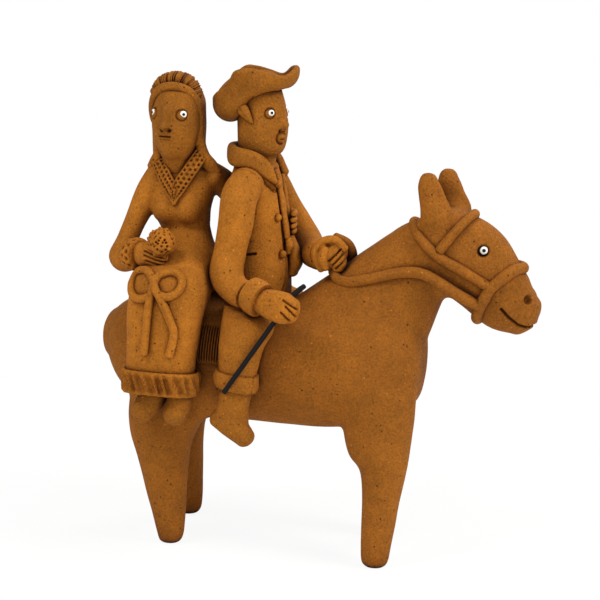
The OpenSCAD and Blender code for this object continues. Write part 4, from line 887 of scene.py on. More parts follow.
TORSO_ROWS = [
    [0, -0.07, 0.5, 0.5], [0, 0.07, 0.5, 0.51], [0, 0.21, 0.487, 0.485], [-0.5, 0.38, 0.46, 0.44],
    [-1, 0.59, 0.427, 0.44], [-1.8, 0.78, 0.4, 0.485], [-2, 0.9, 0.367, 0.5], [-2, 1, 0.31, 0.44]]
COAT_EDGE = np.array([
    [-23, -5.2, 169.2], [-19.8, -4.7, 153.9], [-17.6, -4.1, 137], [-16.3, -2.7, 128.3], [-15.8, -5, 121],
    [-17.5, -9, 115]])
POCKET = [[-31.2, -15, 133.2], [-27.3, -14.5, 133.9]]


class CLAY_OT_coat(bpy.types.Operator):
    """Man's coat: body, rolled collar, front strip with its knot, and buttons."""

    bl_idname = "clay.coat"
    bl_label = "Coat"

    def execute(self, context):
        """Loft the coat, scratch its front edge and pocket, and lay the collar, strip and buttons on it."""
        torso = at(MAN_SEAT, [
            [dx, 0, z * MAN_TORSO_H, a * MAN_TORSO_D, b * MAN_TORSO_W] for dx, z, a, b in TORSO_ROWS])
        flap = [
            [-16.6, 2.6, 140, 2.2, 3.2], [-14.2, 3.2, 133, 3, 4], [-13.6, 3.6, 128, 3.2, 4.4],
            [-15, 3.8, 123.6, 2.6, 4]]
        body = joined(loft(torso, count=210, sides=230, ends=(0.4, 4.7), q=2.3, across=(X, Y)),
                      loft(flap, count=40, sides=36, ends=(1.5, 2), q=2.3, across=(X, -Y)))
        front = np.array([-0.75, 0.66, 0])
        lapel = MAN_NECK + [[0.5, -15, -0.8], [5.6, -12, -4.8], [9.4, -8.4, -9]]
        marks = [
            stroke(COAT_EDGE, 0.55, 1.4, front, 2.2),
            stroke(COAT_EDGE + [-0.9, -1.3, 0], 1.5, -0.45, front),
            stroke(lapel, 0.7, 1.6, [-0.5, 0.85, 0]),
            stroke(POCKET, 0.46, 2.0, Y, 4)]
        clay("man_torso_clay", body, marks)
        collar = [
            [8.6, -8.6, -4.6, 0.3], [6, -11, -0.4, 0.8], [2.5, -12.8, 3, 1], [-2, -13.8, 4.9, 1.05],
            [-8.4, -12, 5.8, 1.1], [-13, 0, 6.4, 1.1], [-8.4, 12, 5.8, 1.1], [-2, 13.8, 4.8, 1],
            [3.5, 12.4, 2.4, 0.9], [8.6, 7.8, -2.6, 0.6]]
        collar = at(MAN_NECK, [[x, y, z, 2.2, 4.1 * h] for x, y, z, h in collar])
        clay("coat_collar_clay", loft(collar, count=140, sides=36, ends=(1, 1), q=2.8, ref=Z), even=1.6)
        strip = at(MAN_NECK, [
            [7.6, -3.2, 0, 1.3, 2.5], [8.8, -2.4, -4, 1.5, 2.8], [9.9, -2.7, -9, 1.3, 2.5],
            [10.9, -2.2, -14, 1.6, 2.9], [12, -2.5, -20, 1.3, 2.5], [13, -2.3, -25, 1.5, 2.7],
            [13.6, -2.4, -29.4, 1.3, 2.3]])
        far_edge = at(MAN_NECK, [
            [9, 2.6, -3, 1.4, 1.8], [10.6, 2.8, -12, 1.4, 1.8], [12.2, 3, -21, 1.3, 1.8]])
        knot = at(MAN_NECK, [
            [14.4, -2.6, -36, 1.5, 1.9], [15, -2.8, -33.4, 2, 2.5], [14.4, -2.6, -30.8, 1.6, 2]])
        strips = joined(loft(strip, count=70, sides=28, ends=(0.6, 1.6), q=2.4),
                        loft(far_edge, count=60, sides=28, ends=(0.6, 1.4), q=2.4),
                        loft(knot, count=24, sides=28, ends=(1.4, 1.4), q=2.2, across=(X, Y)))
        clay("coat_placket_clay", strips, even=2)
        way = facing(-48)
        places = MAN_NECK + [[9.2, -6.4, -5.5], [9.8, -6.9, -20.4], [12.4, -6.5, -36.5]]
        clay("coat_buttons_clay", joined(*[pellet(place + way * 1.3, way, 3.4, 1.8) for place in places]))
        return {"FINISHED"}


class CLAY_OT_man_head(bpy.types.Operator):
    """Man's head, turned a little to the near side: nose, lip disc, ears and stamped eyes."""

    bl_idname = "clay.man_head"
    bl_label = "Man's head"

    def execute(self, context):
        """Loft the head, raise the nose and lips, stamp the eyes and lay the ears on."""
        rows = [
            [0, 0, 0.3, 0.33], [-0.6, 0.15, 0.33, 0.37], [-0.1, 0.23, 0.43, 0.45], [0.2, 0.34, 0.48, 0.48],
            [0.4, 0.56, 0.5, 0.5], [-0.2, 0.79, 0.48, 0.49], [-1, 1, 0.42, 0.45]]
        keys = at(MAN_NECK, [
            [dx, 0, z * MAN_HEAD_H, a * MAN_HEAD_D, b * MAN_HEAD_W] for dx, z, a, b in rows])
        ways = [facing(MAN_TURN, spread) for spread in (-31, 43)]
        eyes = [MAN_NECK + way * 10.6 + Z * 25 for way in ways]
        nose_way, lip_way = facing(MAN_TURN, 5), facing(MAN_TURN, 1)
        nose = MAN_NECK + nose_way * 11.4
        nostrils = [MAN_NECK + facing(turn) * 12 + Z * 17.4 for turn in (-30, -15)]
        lip = MAN_NECK + lip_way * 11.2 + Z * 14.3
        chin = MAN_NECK + lip_way * 11 + Z * 9.6
        across = unit(np.cross(Z, lip_way))
        marks = [
            stroke([nose + Z * 27, nose + Z * 19.6], 2.1, -1.0, -nose_way),
            stroke(nose + Z * 20, 1.9, -1.8, -nose_way, 3),
            stroke(nostrils, 0.6, 2.0, -nose_way, 3, True),
            stroke(lip, 2.15, -1.2, -lip_way, 8),
            stroke(circle(lip, lip_way, 2.5), 0.4, 1.0, -lip_way),
            stroke([lip - across * 1.1 - Z * 0.5, lip + across * 2.3 - Z * 0.2], 0.26, 1.0, -lip_way),
            stroke(chin, 3, -0.6, -lip_way),
            *eye_rings(eyes, ways, sized("rider_eye"))]
        clay("man_head_clay", loft(keys, count=150, sides=190, ends=(2, 3), q=2.2, across=(X, Y)), marks)
        eye_pair("man", eyes, ways, (0.7, 0.4), 2.6)
        ear = [
            [-37.6, -9.6, 197.6, 2, 1.3], [-36, -11, 196.4, 2.6, 1.6], [-34.6, -11.3, 194.8, 2.3, 1.5],
            [-33, -11, 192.6, 1.5, 1.1], [-31.8, -10.6, 191, 0.7, 0.7]]
        ear = loft(ear, count=60, sides=48, ends=(0.8, 0.9))
        inside = [stroke([[-37, 0, 196.6], [-34.4, 0, 193]], 0.7, 0.6, Y * s, 3) for s in (1, -1)]
        clay("man_ears_clay", joined(ear, mirrored(ear)), inside)
        return {"FINISHED"}


# Turn in degrees and length of the hat's brim at each 30 degrees, from the front by the far side and back
BRIM_ROWS = [
    [82, 8.9], [76, 9.6], [60, 6.9], [81, 12.4], [92, 17.2], [103, 18.4], [111, 15.4], [107, 15.4],
    [95, 12.2], [66, 12.6], [84, 8.8], [86, 6.2]]


class CLAY_OT_hat(bpy.types.Operator):
    """Hat: one sheet pinched up into a crown, with the brim folded up at the sides and low at the back."""

    bl_idname = "clay.hat"
    bl_label = "Hat"

    def execute(self, context):
        """Work out the sheet round its middle and give it a thickness with a round edge.

        Inside the crown's oval the sheet rises as height * (1 - r^2.6). Past it the sheet runs on for the
        brim's length at each angle, bending up round a small radius to the brim's turn there. The back and
        the front then sink by depth * (1 - exp(-(distance / length)^2)).
        """
        middle, tilt = np.array([-31.0, 0.0, 203.3]), math.radians(26.8)
        crown_y, height, half = 9.9, 8.3, 1.4
        brim = flow(BRIM_ROWS, 168, True)
        angle = np.linspace(0, 2 * math.pi, len(brim), endpoint=False)[:, None]
        ahead, behind = np.cos(angle), np.clip(-np.cos(angle), 0, 1)
        crown_x = 11.7 + 2.8 * behind
        # Radius of the bend: small at the sides, wider at the back and the front
        fold = 2.4 + 4.2 * behind ** 2 + 5.2 * np.clip(ahead, 0, 1) ** 2
        turn, reach = np.radians(brim[:, :1]), brim[:, 1:]
        r = np.linspace(0.02, 1, 20)[None, :]
        run = np.linspace(0, 1, 18)[1:][None, :] * reach
        bend = np.minimum(run / fold, turn)
        straight = np.clip(run - fold * turn, 0, None)
        out = fold * np.sin(bend) + straight * np.cos(turn)
        up = fold * (1 - np.cos(bend)) + straight * np.sin(turn)
        flat = np.hstack([crown_x * r * ahead, (crown_x + out) * ahead])
        wide = np.hstack([crown_y * r * np.sin(angle), (crown_y + out) * np.sin(angle)])
        tall = np.hstack([height * (1 - r ** 2.6) + 0 * ahead, up])
        for way, start, depth, length in ((-1, 2, 5.4, 7.2), (1, 4, 2.3, 6)):
            tall = tall - depth * (1 - np.exp(-(np.clip(way * flat - start, 0, None) / length) ** 2))
        grid = np.stack([flat * math.cos(tilt) - tall * math.sin(tilt), wide,
                         tall * math.cos(tilt) + flat * math.sin(tilt)], -1) + middle
        outward = np.gradient(grid, axis=1)
        normal = half * unit(np.cross(np.roll(grid, -1, 0) - np.roll(grid, 1, 0), outward))
        arc = np.linspace(0, math.pi, 11)[None, 1:-1, None]
        edge = grid[:, -1:] + normal[:, -1:] * np.cos(arc) + half * unit(outward[:, -1:]) * np.sin(arc)
        sheet = np.concatenate([grid + normal, edge, (grid - normal)[:, ::-1]], axis=1)
        clay("hat_clay", skin(sheet.transpose(1, 0, 2)), even=1.4)
        return {"FINISHED"}


class CLAY_OT_man_arms(bpy.types.Operator):
    """Man's arms: coat sleeves, turned-back cuffs, a fist round the stick and one with the reins."""

    bl_idname = "clay.man_arms"
    bl_label = "Man's arms"

    def execute(self, context):
        """Loft the sleeves, wrap the cuffs round them and cut the fingers."""
        sleeve = 16.0
        right = np.vstack([
            at(MAN_NECK, [
                [-2, -13.6, -5, 0.48], [-3.4, -21.1, -11, 0.5], [-4, -23.5, -22, 0.48],
                [-5.6, -25.2, -33, 0.44]]),
            at(RIGHT_FIST, [[-29, 11.5, 10.6, 0.46], [-23, 8.2, 4.2, 0.395], [-14, 4.2, 3.4, 0.37]])])
        left = np.vstack([
            at(MAN_NECK, [[-2, 13.6, -2, 0.48], [-0.5, 23.1, -10, 0.5], [7, 25.8, -23, 0.47]]),
            at(LEFT_FIST, [[-17.5, 26, 2.6, 0.45], [-10.5, 14.5, -1.6, 0.42], [-6, 6, -1, 0.4]])])
        cuff = at(RIGHT_FIST, [
            [-16.4, 5.3, 4.3, 7.4, 7.4], [-15, 4.7, 3.9, 7.8, 7.8], [-12.6, 3.6, 3, 8, 8],
            [-10.4, 2.6, 2.2, 7.8, 7.8]])
        # The sleeve is cut in behind its cuff: the cuff's first full ring in four widths, moved up a little
        ring = rings(cuff, sides=32, dome=9)[9]
        middle = ring.mean(0)
        spokes = ring[np.arange(33) % 32] - middle
        cut = np.vstack([middle + share * spokes for share in (0.66, 0.78, 0.9, 1.02)]) + [-1.2, 0.6, 0.5]
        groove = stroke(cut, 0.8, 1.6, sharp=3)
        for name, rows, ref, marks in (("right", right, Y, [groove]), ("left", left, Z, [])):
            keys = np.hstack([rows[:, :3], rows[:, 3:] * [sleeve, sleeve]])
            shape = loft(keys, count=260, sides=64, ends=(5, 0.6), ref=ref)
            clay(name + "_sleeve_clay", shape, marks, even=1.6)
        clay("right_cuff_clay", loft(cuff, count=40, sides=64, ends=(0.5, 0.5)), even=1.6)
        cuff = at(LEFT_FIST, [
            [-8, 8.8, -1.4, 6.6, 6.6], [-5.6, 5.6, -0.9, 7, 7], [-3.6, 2.8, -0.4, 6.5, 6.5]])
        clay("left_cuff_clay", loft(cuff, count=40, sides=64, ends=(0.8, 0.8), ref=Z), even=1.6)
        hand = at(RIGHT_FIST, [
            [-12, 3, 2.6, 5, 5], [-5.6, 1, 1.2, 6.5, 5.6], [0.6, -0.6, 0.2, 6.7, 5.6],
            [4.4, -1, -0.4, 5.2, 4.4]])
        cuts = [
            [[-6.3, -44.4, 120.3], [-0.2, -41.9, 116.2]], [[-4.9, -45.5, 117.8], [-0.6, -42.6, 113]],
            [[-6.8, -45.8, 115.1], [-2.9, -43.1, 110.8]]]
        clay("right_hand_clay", loft(hand, count=110, sides=110, ends=(0.6, 2.6), q=2.2),
             fingers(cuts, [-0.3, 0.95, 0]))
        palm = at(LEFT_FIST, [
            [-4.4, 3.6, -0.6, 5.3, 5.3], [-0.5, 0, 0.4, 6.3, 6.8], [3.6, -1.8, 0.2, 6, 7.3],
            [5.6, -2.4, -0.4, 4.8, 5.6]])
        thumb = [[3.4, -11.2, 137.6, 2, 2], [2.4, -11.9, 133.6, 2.3, 2.3], [3.6, -11.6, 129.8, 1.8, 1.8]]
        wrap = tube([
            [1.6, -9.6, 128.6], [-0.4, -10.4, 132], [-1, -10.6, 136.9], [2.5, -10.6, 141.2],
            [7.6, -10.2, 141.8], [11.6, -9.2, 138]], 3.7)
        block = [
            [8.8, -8.6, 128.9, 2.6, 2.4], [8.8, -9, 131.5, 3.7, 2.9], [7.9, -9, 135.6, 3.9, 3],
            [6.8, -8.8, 138.8, 2.8, 2.4]]
        fist = joined(
            loft(palm, count=40, sides=40, ends=(0.6, 2.4), q=2.2, ref=Z),
            loft(thumb, count=40, sides=28, ends=(1.6, 1.8)),
            loft(wrap, count=60, sides=28, ends=(1.5, 1.2)),
            loft(block, count=40, sides=36, ends=(1.6, 1.6), q=2.5, across=(X, Y)))
        fist = luted("left_hand_clay", fist, context.scene.clay_sizes.boot_voxel * 0.7, 0, 2)
        cuts = [
            [[5.2, -11.5, 132.6], [10, -10, 138]], [[6.6, -10.9, 130.7], [11.2, -9.8, 136]],
            [[7.8, -9, 129.2], [11.8, -7.2, 133.6]]]
        clay("left_hand_clay", fist, fingers(cuts, [-0.2, 1, 0]), even=0.6)
        return {"FINISHED"}


class CLAY_OT_man_legs(bpy.types.Operator):
    """Man's legs on both flanks: trouser legs, turned-up cuffs and boots."""

    bl_idname = "clay.man_legs"
    bl_label = "Man's legs"

    def execute(self, context):
        """Loft the near leg's pieces and mirror them for the far flank."""
        thigh = at(MAN_FLANK, [
            [2, -7.2, -31, 7.8, 7.5], [3.2, -6.2, -17, 9.5, 8.4], [5, -4.2, -9, 11.4, 9.4],
            [4.4, 0, -3.5, 11.2, 10.3], [1, 5, 0.5, 8.8, 9.4]])
        thigh = loft(thigh, count=80, sides=60, ends=(0.4, 2), q=2.2, across=(X, Y))
        ankle = MAN_FLANK + [1.8, -7.4, -30.3]
        cuff = at(ankle, [
            [0.3, 0, -3.4, 9, 8.5], [0.1, -0.1, -1.6, 9.8, 9.3], [0, 0, 1, 9.9, 9.5],
            [0.3, 0.2, 3.4, 9.4, 9]])
        cuff = loft(cuff, count=50, sides=80, ends=(0.8, 0.8), q=2.2, across=(unit([1, 0, -0.13]), Y))
        shaft = at(ankle, [[-1.6, -0.3, -18, 7.6, 6.2], [-1.2, 0, -12, 6.9, 6.7], [0.6, 0.4, -3, 6.9, 6.7]])
        foot = at(ankle, [
            [-8, 0.6, -17.5, 4.4, 4.6], [-3, -0.3, -19.4, 5.4, 5.6], [2, -1.6, -22, 5.2, 5.6],
            [5.6, -2.8, -24.6, 4.4, 4.6]])
        boot = joined(loft(shaft, count=30, sides=40, ends=(3, 0.4), across=(X, Y), q=2.2),
                      loft(foot, count=40, sides=40, ends=(3, 3.4)))
        seam = stroke([ankle + [9.3, -3.6, 5], ankle + [8.8, -4.6, -5]], 0.4, 0.8, [-0.8, 0.6, 0])
        near = (thigh, cuff, boot)
        far = [mirrored(shape) for shape in near]
        for side, (thigh, cuff, boot), marks in (("right", near, [seam]), ("left", far, [])):
            clay(side + "_trouser_leg_clay", thigh, even=1.5)
            clay(side + "_trouser_cuff_clay", cuff, marks, even=2)
            boot = luted(side + "_boot_clay", boot, context.scene.clay_sizes.boot_voxel, 40, 4)
            clay(side + "_boot_clay", boot, even=1.2)
        return {"FINISHED"}


class CLAY_OT_stick(bpy.types.Operator):
    """Stick in the man's right fist: a thin painted twig with a bent tip, which slides along itself."""

    bl_idname = "clay.stick"
    bl_label = "Stick"

    def execute(self, context):
        """Loft a rod along its way, bent by 17 degrees at the knot."""
        way = unit(STICK_WAY)
        tilt = math.acos(way[2]) + math.radians(17)
        flat = unit([way[0], way[1], 0])
        bent = flat * math.sin(tilt) + Z * math.cos(tilt)
        knot = RIGHT_FIST + way * 8
        places = [RIGHT_FIST - way * s for s in (44, 30, 15, 0)]
        places += [knot - way * 1.5, knot + bent * 1.2, knot + bent * 5]
        keys = tube(places, sized("stick"))
        # The knot is a tenth thicker
        keys[4:6, 3:] *= 1.1
        rod = loft(keys, count=120, sides=24, ends=(0.5, 0.8))
        clay("stick_paint", rod, slot="black_stick", body="stick", even=0.3)
        return {"FINISHED"}


# Woman

SKIRT_Q = 2.4
SKIRT_KEYS = at(SKIRT_FLANK, [
    [0.5, -10.6, -33, 15.2, 10], [1, -10.6, -16.5, 15.75, 10], [1.6, -9.5, -4, 16.6, 10.6],
    [2, -5, 4, 17.3, 14.6], [2.3, 1, 9, 17.5, 19.6], [2.4, 9, 15.5, 16.3, 23], [2, 15, 21, 13.8, 16.6],
    [1, 19.6, 26, 11.8, 11], [0.2, 23, 30.5, 10.4, 8.6]])
BODICE_ROWS = [
    [1, 1.5, 0.03, 16, 13], [1, 0.6, 0.1, 14.6, 11.6], [0.5, 0, 0.29, 13.4, 10.4],
    [-0.6, -0.5, 0.44, 11.6, 9.2], [-1, -1, 0.53, 11, 8.7], [-2, -2, 0.62, 12.2, 10.4],
    [-2.8, -2.4, 0.7, 13.2, 11.7], [-2.4, -2, 0.78, 13.8, 11.3], [-2, -1.5, 0.86, 14.6, 10.2],
    [-1.5, -1, 0.94, 15.1, 9], [-1.5, -1, 1, 12, 7.5]]
DRESS_NODES = ["woman_bodice", "woman_skirt", "woman_right_sleeve", "woman_left_sleeve"]


class CLAY_OT_dress(bpy.types.Operator):
    """Woman's dress: bodice, skirt and sleeves luted into one smooth skin, with its frill and the shoes."""

    bl_idname = "clay.dress"
    bl_label = "Dress"

    def execute(self, context):
        """Loft and lute the dress, flute the frill and set the shoes under it."""
        bodice = at(WOMAN_SEAT, [[dx, dy, z * WOMAN_TORSO_H, a, b] for dx, dy, z, a, b in BODICE_ROWS])
        bust = at(WOMAN_SEAT, [
            [-11.6, -5.6, 40.6, 3.6, 3.6], [-7.8, -8.8, 38.3, 6.3, 6.1], [-2.6, -8.2, 39.2, 5.1, 5],
            [2.6, -8.6, 38.3, 6.2, 6], [6.6, -5.6, 40.6, 3.6, 3.6]])
        right = np.vstack([
            at(WOMAN_NECK, [
                [-11.5, 0, -1, 6.2, 6.2], [-15.6, -4, -10.6, 6.3, 6.3], [-19.7, -8, -20.6, 4.9, 4.9],
                [-22.8, -11.6, -30.6, 4.8, 4.8]]),
            at(WRIST, [[-9, 7.6, -2.4, 6, 6], [-4, 3.2, -2.2, 5.7, 5.7], [1, -1, 0.3, 5.2, 5.2]])])
        left = np.vstack([
            at(WOMAN_NECK, [[11.5, 0, -1, 6.2, 6.2], [15.5, 9, -6, 6, 6.2]]),
            at(MAN_NECK, [
                [-13.5, 18, -18, 5.5, 6], [-2, 20.5, -22, 5.2, 5.7], [8.5, 15, -23.5, 4.7, 5.5]])])
        lumps = joined(
            loft(bodice, count=70, sides=60, ends=(0.4, 4), q=2.2, across=(X, Y)),
            loft(SKIRT_KEYS, count=80, sides=70, ends=(0.4, 2), q=SKIRT_Q, across=(X, Y)),
            loft(bust, count=50, sides=40, ends=(3.5, 3.5)),
            loft(right, count=70, sides=36, ends=(4, 0.4)),
            loft(left, count=70, sides=36, ends=(4, 0.4), ref=Z))
        mesh = luted("dress_clay", lumps, context.scene.clay_sizes.dress_voxel, 18, 4)
        clay("dress_clay", mesh, even=1.5, nodes=DRESS_NODES)
        clay("skirt_frill_clay", self.frill())
        left = [[-3.4, 1, 0, 7, 6.1], [-3.8, -1.5, -7.6, 6.4, 5.5], [-6.6, -4.8, -13.2, 5.1, 4.6]]
        right = [[9.4, 1, 0, 5.4, 6.1], [9, -1.5, -8, 5.5, 5.5], [8, -4.8, -13.2, 5.1, 4.8]]
        shoes = [loft(at(HEM, rows), count=40, sides=40, ends=(0.4, 4.6), q=2.1) for rows in (left, right)]
        clay("woman_shoes_clay", joined(*shoes), even=1.4)
        return {"FINISHED"}

    def frill(self):
        """Fluted band round the hem.

        Its outline is the skirt's squared-off oval, stepped evenly by its arc, grown by a rounded band and
        dented by flutes that lean a little and fade to the right end:
        band(z) - depth * window(z) * sin(pi * p ** 0.7), with p the phase of a flute.
        """
        low, high, depth, flutes, lean = -4.6, 5.8, 2.4, 21, 0.004
        half_x, half_y = 14.9, 9.5
        fine = np.linspace(0, 2 * math.pi, 4001)
        oval = np.stack([(half_x + 1) * squared(np.cos(fine), SKIRT_Q),
                         (half_y + 1) * squared(np.sin(fine), SKIRT_Q)])
        arc = np.append(0, np.cumsum(np.linalg.norm(np.diff(oval), axis=0)))
        share = np.linspace(0, 1, 22 * flutes, endpoint=False)[None, :]
        turn = np.interp(share, arc / arc[-1], fine)
        part = np.linspace(0, 2 * math.pi, 56, endpoint=False)[:, None]
        z = (low + high) / 2 + (high - low) / 2 * squared(np.sin(part), 3.4)
        band = 1.4 + 1.5 * squared(np.cos(part), 3.0)
        window = np.clip((z - low) / 2.2, 0.25, 1) * np.clip((high - z) / 3.2, 0, 1) * (np.cos(part) > 0)
        phase = (flutes * (share + lean * z + 0.006 * np.sin(9 * turn))) % 1
        dent = window * np.sin(math.pi * phase ** 0.7) * np.clip(1.5 - np.cos(turn), 0.4, 1)
        grow = band - depth * dent
        ring = np.stack(np.broadcast_arrays((half_x + grow) * squared(np.cos(turn), SKIRT_Q),
                                            (half_y + grow) * squared(np.sin(turn), SKIRT_Q),
                                            z - 0.35 * np.cos(2 * turn)), -1)
        return skin((ring + HEM)[::-1].transpose(1, 0, 2), True)


def skirt_front(x, z):
    """Front face of the skirt at x and z: its middle less b * (1 - (|x - cx| / a) ** q) ** (1 / q)."""
    order = np.argsort(SKIRT_KEYS[:, 2])
    cx, cy, a, b = (np.interp(z, SKIRT_KEYS[order, 2], SKIRT_KEYS[order, k]) for k in (0, 1, 3, 4))
    share = np.minimum(1, np.abs(x - cx) / a)
    return cy - b * (1 - share ** SKIRT_Q) ** (1 / SKIRT_Q)


class CLAY_OT_sash(bpy.types.Operator):
    """Sash: two rolled coils laid on the skirt as a bow, each with a loop on one side and a tail."""

    bl_idname = "clay.sash"
    bl_label = "Sash bow"

    def execute(self, context):
        """Lay the coils' places on the skirt's front, the left loop's over the other one at the knot."""
        left_loop = [
            [-2.6, -3.4], [-5.8, -4.8], [-9.8, -4.8], [-12.8, -2.2], [-13.4, 1.8], [-11, 5.2], [-6.4, 6.2],
            [-2.8, 4], [0, 0.2], [3.6, -5.8], [7.2, -13.4], [8.9, -19.2], [7.2, -28.2]]
        right_loop = [
            [1.4, -2.4], [5.4, -3.2], [9.4, -1.2], [10.6, 2.4], [8.4, 5.8], [3.8, 6.4], [-0.4, 4.2],
            [-1.6, -1.6], [-2.6, -8], [-3.3, -18], [-4, -28.2]]
        coils = []
        for rows, crossing in ((left_loop, 1.3), (right_loop, 0)):
            x, z = (flow(rows, 140) + [SKIRT_FLANK[0] + 0.6, BACK + 9.5]).T
            from_knot = (x - SKIRT_FLANK[0]) ** 2 + (z - BACK - 9) ** 2
            lift = 1.2 + crossing * np.exp(-from_knot / 12)
            places = np.stack([x, skirt_front(x, z) - lift, z], -1)
            coils.append(loft(tube(places, 3.6), count=140, sides=20, ends=(1.2, 1.2)))
        clay("sash_bow_clay", joined(*coils))
        return {"FINISHED"}


class CLAY_OT_lace(bpy.types.Operator):
    """Lace collar and right cuff: strips of clay poked full of dimples."""

    bl_idname = "clay.lace"
    bl_label = "Lace"

    def execute(self, context):
        """Loft the strips and pick the dimples' places from their own grids."""
        tip = [-0.8, -13.7, -12.8]
        widths = (3.2, 3.2, 3.1, 1.0)
        strips, spots = [], []
        for rows in ([[-10.9, -5.5, 3.6], [-6.4, -9.5, -2.4], [-2.4, -11.5, -7.7], tip],
                     [[8.7, -5, 8.7], [4.6, -9.5, 0.9], [0.1, -11.5, -7], tip]):
            keys = at(WOMAN_NECK, [[*row, wide, 1.5] for row, wide in zip(rows, widths)])
            grid = rings(keys, count=90, sides=72, ends=(1, 1.2), q=3.0)
            strips.append(skin(grid))
            # Columns 18 and 54 of the 72 run along the middles of the two faces, and the outer one is poked
            front = 54 if grid[50, 54, 1] < grid[50, 18, 1] else 18
            spots += [grid[12:100:7, front - 7], grid[15:100:7, front], grid[12:100:7, front + 7]]
        dimples = stroke(np.vstack(spots), sized("dimple"), sized("dimple_depth"), sharp=2.6, dots=True)
        clay("lace_collar_clay", joined(*strips), [dimples])
        keys = at(WRIST, [[-2.9, 2.5, -0.7, 6.7, 6.7], [0.2, -0.2, 0.3, 7.6, 7.6], [2.9, -2.5, 0.9, 7, 7]])
        cuff = rings(keys, count=44, sides=130, ends=(0.8, 0.8), ref=Z)
        spots = np.concatenate([cuff[row, start::10] for row, start in ((16, 0), (31, 5), (46, 0))])
        dimples = stroke(spots, 0.9, 1.5, sharp=2.8, dots=True)
        clay("woman_right_cuff_clay", skin(cuff), [dimples], even=2.4)
        return {"FINISHED"}


class CLAY_OT_woman_hands(bpy.types.Operator):
    """Woman's hands: the right one holding a bouquet of pitted florets, the left one round the man."""

    bl_idname = "clay.woman_hands"
    bl_label = "Woman's hands"

    def execute(self, context):
        """Loft the hands, cut the fingers and poke the bouquet full of holes along a spiral."""
        hand = at(WRIST, [
            [1.6, -1.4, 0.9, 3.6, 4.7], [6, -5, 1.4, 4, 5.6], [11.5, -7.6, 1, 3.8, 5.4],
            [15, -8.6, 0.6, 3.2, 4.2]])
        cuts = [
            [[-71, -37, 135.3], [-60, -36.4, 132.6]], [[-71, -37.6, 133.3], [-60, -36.7, 130.7]],
            [[-70, -37.6, 131], [-60.6, -36.8, 128.9]]]
        clay("woman_right_hand_clay", loft(hand, count=110, sides=110, ends=(0.4, 2.4), q=2.2, ref=Z),
             fingers(cuts, Y))
        place, radius, count = WRIST + [14.6, -8.6, 7.6], 6, 150
        poles = tube([place - Z * 0.05, place + Z * 0.05], 2 * radius)
        ball = loft(poles, count=3, sides=140, ends=(radius, radius), ref=X, dome=44)
        # Spiral: even steps of level from the top down, each turned on by the golden angle
        k = np.arange(count) + 0.5
        level = 1 - 2 * k / count
        turn = k * math.pi * (3 - math.sqrt(5))
        rim = np.sqrt(1 - level ** 2)
        spots = place + radius * np.stack([rim * np.cos(turn), rim * np.sin(turn), level], -1)
        holes = spots + np.random.default_rng(5).normal(0, 0.45, spots.shape)
        crumbs = spots + np.random.default_rng(6).normal(0, 0.8, spots.shape)
        marks = [stroke(crumbs[::2], 0.8, -1.1, dots=True), stroke(holes, 0.5, 1.6, sharp=2.6, dots=True)]
        clay("bouquet_clay", ball, marks, even=2)
        palm = at(MAN_NECK, [
            [8, 15.6, -23.5, 2.4, 4.8], [11.6, 11, -23.3, 2.4, 5], [13.4, 6.6, -23.3, 2.2, 4.8]])
        hand = [loft(palm, count=40, sides=40, ends=(0.4, 1.6), q=2.3, ref=Z)]
        for level, reach in ((-19.6, 0.2), (-22.3, -0.6), (-25, -0.3), (-27.6, 0.8)):
            finger = MAN_NECK + [
                [10, 14, level], [13.6, 9.4, level], [15, 4.6, level], [15.4, 0.4 + reach, level]]
            hand.append(loft(tube(finger, 2.5), count=50, sides=24, ends=(1.2, 1.3), ref=Z))
        clay("woman_left_hand_clay", joined(*hand), even=0.6)
        return {"FINISHED"}


